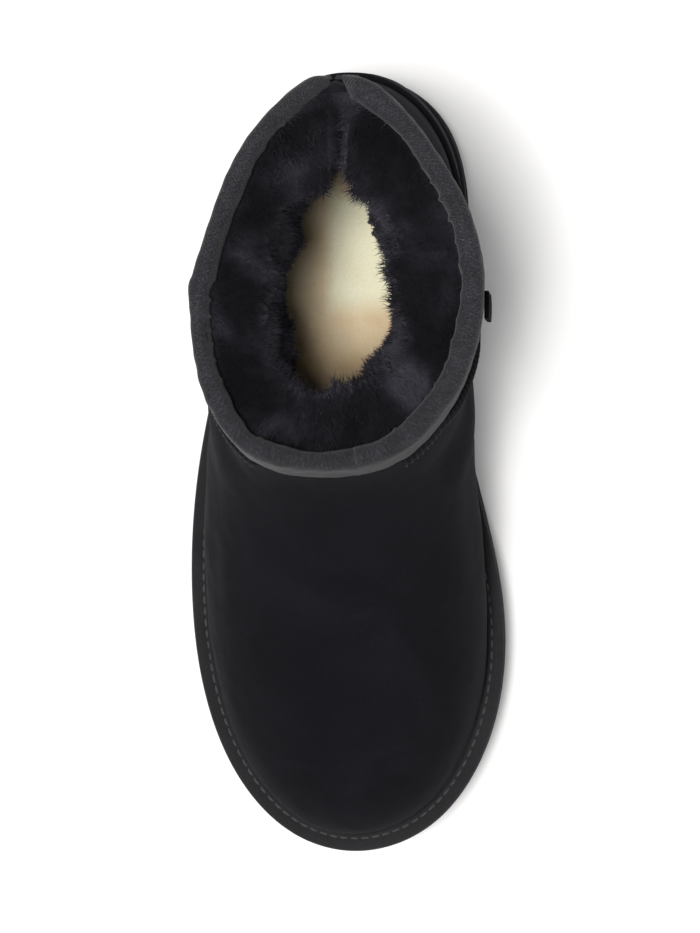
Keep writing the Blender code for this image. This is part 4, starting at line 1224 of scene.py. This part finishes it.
notch_speed = np.linalg.norm(np.diff(collar(np.array((0.499, 0.501)))[0][:, :2], axis=0)) / 0.002
parting = BINDING_PARTING / 2.0 / notch_speed
tape_shares = np.mod(np.linspace(0.5 + parting, 1.5 - parting, 620), 1.0)
tape_top = upper_surface(tape_shares, (1.0,))[0]
nearly = 0.999
tape_up = tape_top - upper_surface(tape_shares, (nearly,))[0]
tape_climb = np.linalg.norm(tape_up, axis=1) / (1.0 - nearly)
tape_up = unit(tape_up)
tape_steps = path_lengths(tape_top)
from_inner_end = tape_steps[-1] - tape_steps
fold_path = rounded_path(np.array([row[1:] for row in BINDING_FOLD]) / 1000.0, 27)
fold_way = unit(np.gradient(fold_path[:, :2], axis=0))
edge_taper = np.ones(len(fold_path))
edge_taper[[0, -1]] = TAPE_EDGE_SHARE
half_tape = np.column_stack((fold_way[:, 1], -fold_way[:, 0])) * (edge_taper * BINDING_TAPE / 2.0)[:, None]
tape_section = np.vstack((fold_path[:, :2] + half_tape, (fold_path[:, :2] - half_tape)[::-1]))
tape_inward = np.concatenate((fold_path[:, 2], fold_path[::-1, 2])) * 1000.0
tape_turns = np.mod(collar_turn(tape_shares), 1.0)
spread = read_table(BINDING_SPREAD, 2, tape_turns) / 1000.0
pucker_phase = 2.0 * math.pi * tape_steps / PUCKER_PITCH + 4.0 * wave_noise(tape_top, 0.045, 31)
pucker_size = PUCKER_HEIGHT * np.clip(0.35 + wave_noise(tape_top, 0.028, 32), 0.0, 1.8)
pucker = pucker_size * (1.0 - 2.0 * np.exp(-(np.mod(pucker_phase, 2.0 * math.pi) - math.pi) ** 2 / 0.5))
pucker += TAPE_WAVE * wave_noise(tape_top, 0.020, 34)
collar_round = math.pi * (COLLAR_LENGTH + COLLAR_WIDTH) / 2.0
join_gaps = np.abs(tape_turns[:, None] - column(TAPE_JOINS, 1)) * collar_round
join_dent = np.exp(-(join_gaps / JOIN_WIDTH) ** 2).sum(axis=1) * JOIN_DENT
end_curl = OUTER_END_CURL * np.exp(-((tape_steps - 0.0045) / 0.0065) ** 2)
end_curl = end_curl + INNER_END_CURL * np.exp(-from_inner_end / 0.0075)
kink = OUTER_KINK * np.exp(-((tape_turns - 0.762) * math.pi * COLLAR_LENGTH / 0.0045) ** 2)
end_pinch = OUTER_END_PINCH * np.exp(-(tape_steps / 0.007) ** 2)
tape_out = tape_section[:, 0][:, None] + tape_inward[:, None] * (pucker - spread + end_pinch) + kink
tape_rise = tape_section[:, 1][:, None] + 0.45 * tape_inward[:, None] * pucker + end_curl
tape_rise = tape_rise - join_dent * (tape_section[:, 1] > -1.0)[:, None]
tape_ways = 1.0 + np.minimum(tape_rise, 0.0) / tape_climb
tape_base, tape_normals = upper_layer(tape_shares, tape_ways)
tape_points = tape_base + tape_normals * tape_out[..., None] + tape_up * np.maximum(tape_rise, 0.0)[..., None]
tape_points = tape_points + tape_normals * (TAPE_NAP * wave_noise(tape_points, 0.006, 33))[..., None]
slant = INNER_END_SLANT * np.exp(-from_inner_end / 0.0055)
tape_heading = unit(np.gradient(tape_top, axis=0))
tape_points = tape_points - tape_heading * (tape_inward[:, None] * slant)[..., None]
tape_grid = tape_points.transpose(1, 0, 2)


def sweep_faces(rows, ring):
    """Faces of a sweep whose sections are rings of points: its walls, and a cap at each end."""
    caps = np.array((np.arange(ring)[::-1], np.arange(ring) + (rows - 1) * ring))
    return [grid_faces(rows, ring), caps]


tape_faces = [faces[:, ::-1] for faces in sweep_faces(*tape_grid.shape[:2])]
tape_mesh = lay_mesh("woven_binding", tape_grid, tape_faces, tape_finish, 0.0, False, 60.0)


def unwrap_sweep(mesh, rows, ring, row_steps, ring_steps):
    """Gives the walls of a sweep a flat map in metres: along its path, and around its section."""
    sizes = (rows - 1) * ring
    low, left = np.meshgrid(np.arange(rows - 1), np.arange(ring), indexing="ij")
    along = np.stack((low, low + 1, low + 1, low), axis=-1).reshape(sizes, 4)
    around = np.stack((left, left, left + 1, left + 1), axis=-1).reshape(sizes, 4)
    layer = mesh.uv_layers.new(name="flat")
    values = np.zeros((len(mesh.loops), 2), np.float32)
    values[:sizes * 4, 0] = row_steps[along].ravel()
    values[:sizes * 4, 1] = ring_steps[around].ravel()
    layer.data.foreach_set("uv", values.ravel())


section_steps = path_lengths(np.vstack((tape_section, tape_section[:1])))
unwrap_sweep(tape_mesh, *tape_grid.shape[:2], tape_steps, section_steps)
add_piece(tape_mesh, "binding_tape", "collar_binding")


# The heel counter and the back strip: two suede pieces laid over the upper, the counter cupping
# the heel and the strip covering the back seam, each with a skived edge.
COUNTER_THICKNESS = 0.0016
COUNTER_HEIGHT = 0.066
COUNTER_REACH = 0.058
TAB_THICKNESS = 0.0012
TAB_WIDTH = 0.0070
OVERLAY_FOOT_SHARE = 0.034


def counter_height(along):
    """Height of the counter's upper edge: a flattened quarter ellipse from the sole to the back seam."""
    front = SOLE_LENGTH / 2.0 - COUNTER_REACH
    share = np.clip((along - front) / COUNTER_REACH, 0.0, 1.0)
    rise = np.sqrt(np.maximum(1.0 - (1.0 - share) ** 2, 0.0)) ** 0.8
    return np.where(along > front, HEEL_THICKNESS + (COUNTER_HEIGHT - HEEL_THICKNESS) * rise, 0.0)


def patch(name, shares, low_ways, high_ways, thickness, finish, rows=36, soft=0.0022, skive=1.0):
    """Closed pad on the upper between two ways up at each share, rounded at its edges, thinned upwards."""
    up = np.linspace(0.0, 1.0, rows)[:, None]
    ways = low_ways + (high_ways - low_ways) * up
    base, normals = upper_layer(shares, ways)
    width = np.linalg.norm(base[-1] - base[0], axis=-1)
    length = path_lengths(base[rows // 2])
    side = np.minimum(length, length[-1] - length)
    edge = np.minimum(np.minimum(up, 1.0 - up) * width, side)
    bulge = np.sqrt(np.clip(1.0 - (1.0 - np.clip(edge / soft, 0.0, 1.0)) ** 2, 0.0, 1.0))
    thin = 1.0 + (skive - 1.0) * smooth_step(up, 0.45, 0.95)
    outer = base + normals * (GAP + thickness * thin * (0.12 + 0.88 * bulge))[..., None]
    inner = base + normals * GAP
    points = np.concatenate((outer[None], inner[None])).reshape(-1, 3)
    columns = len(shares)
    size = rows * columns
    faces = grid_faces(rows, columns, close_columns=False)
    ring = np.concatenate((
        np.arange(columns), np.arange(1, rows) * columns + columns - 1,
        (rows - 1) * columns + np.arange(columns - 1)[::-1], np.arange(1, rows - 1)[::-1] * columns,
    ))
    after = np.roll(ring, -1)
    rim_faces = np.column_stack((ring, ring + size, after + size, after))
    return lay_mesh(name, points, [faces, faces[:, ::-1] + size, rim_faces], finish, 0.0, True, 50.0)


counter_suede = suede_finish("counter_suede", (0.0058, 0.0055, 0.0072), (0.0084, 0.0081, 0.0104), 0.025)
trial_ways = np.linspace(OVERLAY_FOOT_SHARE, 0.85, 260)
trial_shares = np.linspace(0.36, 0.64, 220)
trial = upper_surface(trial_shares, trial_ways)
inside = trial[..., 2] < counter_height(trial[..., 1])
counter_tops = np.where(inside.any(axis=0), trial_ways[inside.sum(axis=0) - 1], OVERLAY_FOOT_SHARE)
kept = counter_tops > OVERLAY_FOOT_SHARE + 0.01
counter_shares = trial_shares[kept]
counter_tops = counter_tops[kept]
counter_tops[2:-2] = sum(counter_tops[first:len(counter_tops) - 4 + first] for first in range(5)) / 5.0
add_piece(
    patch("heel_cup", counter_shares, OVERLAY_FOOT_SHARE, counter_tops, COUNTER_THICKNESS, counter_suede),
    "upper_suede", "heel_counter",
)

back_way = np.linspace(0.3, 1.0, 400)
back_line = upper_surface(np.array((0.5,)), back_way)[:, 0]
strip_low = np.interp(COUNTER_HEIGHT + GAP, back_line[:, 2], back_way)
strip_top = COLLAR_BACK_HEIGHT - NOTCH_DEPTH - BINDING_OUTER_LEG - LINING_GAP
strip_high = np.interp(strip_top, back_line[:, 2], back_way)
strip_half = TAB_WIDTH / 2.0 / notch_speed
strip_shares = np.linspace(0.5 - strip_half, 0.5 + strip_half, 17)
add_piece(
    patch("back_strip", strip_shares, strip_low, strip_high, TAB_THICKNESS, boot_suede, 90, 0.0016, 0.5),
    "upper_suede", "heel_tab",
)


# The side seams: the vamp and the shaft are butted and sewn over a cord with whip stitches, which
# leaves a raised ribbed line from under the binding down to the sole beside the counter.
SEAM_THICKNESS = 0.0022
SEAM_WIDTH = 0.0052
WHIP_PITCH = 0.0020
WHIP_RADIUS = 0.00029
WHIP_LIFT = 0.00002
WHIP_SINK = 0.0005
WHIP_OVERHANG = 0.0003
WHIP_SLANT = 0.0009

# back and up: shares of the half length and of the collar height
SIDE_SEAM = (
    ("under the binding", -0.015, 0.885),
    ("front of the ankle", 0.10, 0.835),
    ("ankle", 0.26, 0.735),
    ("below the ankle", 0.40, 0.560),
    ("beside the counter", 0.475, 0.380),
    ("at the sole", 0.500, 0.150),
)


def seam_line(low_share, high_share, count):
    """Places on the upper along the seam's line in the side view, and the directions out of it there."""
    shares = np.linspace(low_share, high_share, 420)
    ways = np.linspace(OVERLAY_FOOT_SHARE, 0.92, 420)
    base, normals = upper_layer(shares, ways)
    way = np.linspace(0.0, 1.0, len(SIDE_SEAM))
    fine = np.linspace(0.0, 1.0, count)
    back = np.interp(fine, way, column(SIDE_SEAM, 1)) * SOLE_LENGTH / 2.0
    up = np.interp(fine, way, column(SIDE_SEAM, 2)) * COLLAR_BACK_HEIGHT
    soften(back, 3)
    soften(up, 3)
    flat = base.reshape(-1, 3)
    gaps = (flat[None, :, 1] - back[:, None]) ** 2 + (flat[None, :, 2] - up[:, None]) ** 2
    nearest = gaps.argmin(axis=1)
    line = flat[nearest]
    out = normals.reshape(-1, 3)[nearest]
    soften(line, 4)
    soften(out, 4)
    return line, unit(out)


def seam_arch(turns):
    """Height of the seam's back over its width, as a share of its thickness: a sine with full shoulders."""
    return 0.35 * np.sqrt(np.sin(turns)) + 0.5 * np.sin(turns)


seam_thread = thread_finish("dark_thread", (0.0045, 0.0045, 0.0058), (0.0092, 0.0092, 0.0112), 0.05)
for name, node, low_share, high_share in (
    ("inner_side_seam", "medial_seam", 0.12, 0.42), ("outer_side_seam", "lateral_seam", 0.58, 0.88),
):
    line, out = seam_line(low_share, high_share, 200)
    steps = path_lengths(line)
    even = np.linspace(0.0, steps[-1], 260)
    line, out = read_path(line, steps, even), read_path(out, steps, even)
    heading = unit(np.gradient(line, axis=0))
    across = np.cross(out, heading)
    turns = np.linspace(0.0, math.pi, 13)
    rib_wave = 1.0 + 0.10 * np.sin(2.0 * math.pi * even / WHIP_PITCH)
    taper = np.sqrt(np.clip(np.minimum(even, even[-1] - even) / 0.002, 0.05, 1.0))
    high = seam_arch(turns) * (SEAM_THICKNESS * rib_wave * taper)[:, None]
    wide = np.cos(turns) * (SEAM_WIDTH / 2.0 * taper)[:, None]
    ridge = line[:, None] + across[:, None] * wide[..., None] + out[:, None] * (GAP + high)[..., None]
    floor_line = line[:, None] + across[:, None] * wide[:, ::-1][..., None] + out[:, None] * GAP
    section = np.concatenate((ridge, floor_line[:, 1:-1]), axis=1)
    mesh = lay_mesh(name, section, sweep_faces(*section.shape[:2]), counter_suede, 0.0, True, 60.0)
    add_piece(mesh, "seam_thread", node)
    whip_count = int(even[-1] / WHIP_PITCH)
    at = (np.arange(whip_count) + 0.5) / whip_count * (len(line) - 1)
    spots, outs, sides, ahead = (
        read_path(values, np.arange(len(line)), at) for values in (line, out, across, heading)
    )
    bow = np.linspace(0.0, math.pi, 9)[None, :, None]
    arch = seam_arch(bow) * SEAM_THICKNESS + GAP + WHIP_LIFT - WHIP_SINK * np.cos(bow) ** 8
    paths = spots[:, None] + sides[:, None] * (np.cos(bow) * (SEAM_WIDTH / 2.0 + WHIP_OVERHANG))
    paths = paths + outs[:, None] * arch + ahead[:, None] * (WHIP_SLANT * np.cos(bow))
    whip_points, whip_faces = tubes(paths, WHIP_RADIUS, 6, ahead[:, None])
    add_piece(lay_mesh(name + "_stitches", whip_points, whip_faces, seam_thread), "seam_thread")


# The side tag: a short folded woven ribbon, caught under the binding on the inner side. It is
# left bare, with only its weave and its fold.
TAG_WIDTH = 0.0085
TAG_DROP = 0.0150
TAG_THICKNESS = 0.0014
TAG_PLACE = 0.306
TAG_HEIGHT_SHARE = 0.92

tag_finish = new_finish("black_ribbon", (0.004, 0.004, 0.005), 0.95, {"Specular IOR Level": 0.05})
ribs = {"Vector": add_node(tag_finish, "TexCoord", {}, OBJECT_PLACE), "Scale": 500.0, "Distortion": 0.5}
ribbon_weave = add_node(tag_finish, "TexWave", ribs, 1, bands_direction="Z")
ribbon_tone = ramp(tag_finish, ribbon_weave, (0.2, (0.0028, 0.0028, 0.0035)), (0.8, (0.0062, 0.0062, 0.0074)))
wear_finish(tag_finish, {"Base Color": ribbon_tone, "Normal": bumped(tag_finish, ribbon_weave, 0.5, 0.00015)})

tag_base, tag_out = upper_layer(np.array((TAG_PLACE,)), np.array((TAG_HEIGHT_SHARE,)))
tag_base, tag_out = tag_base[0, 0], tag_out[0, 0]
tag_ways = np.linspace(-0.2, 1.0, 19)
tag_away = np.interp(tag_ways, (-0.2, 0.3, 1.0), (0.0, 0.1, 0.5)) * TAG_THICKNESS
tag_start = BINDING_EASE + 1.1 * BINDING_TAPE + 2.0 * GAP
tag_across = np.linspace(-0.5, 0.5, 9) * TAG_WIDTH
tag_near = tag_base + tag_out * (tag_start + tag_away)[:, None]
tag_near[:, 2] = tag_base[2] - tag_ways * TAG_DROP
tag_swell = np.sin(np.linspace(0.0, math.pi, 9)) * 0.0002
tag_fold = TAG_THICKNESS * (0.85 + 0.15 * np.sqrt(1.0 - tag_ways.clip(0.0, 1.0) ** 6))
tag_face = tag_near[:, None] + np.array((0.0, 1.0, 0.0)) * tag_across[:, None]
tag_back = tag_face + tag_out * tag_fold[:, None, None] + tag_out * tag_swell[:, None]
tag_section = np.concatenate((tag_face, tag_back[:, ::-1]), axis=1)
tag_faces = sweep_faces(*tag_section.shape[:2])
tag_mesh = lay_mesh("folded_tag", tag_section, tag_faces, tag_finish, 0.0, True, 50.0)
add_piece(tag_mesh, "tag_weave", "side_tag")
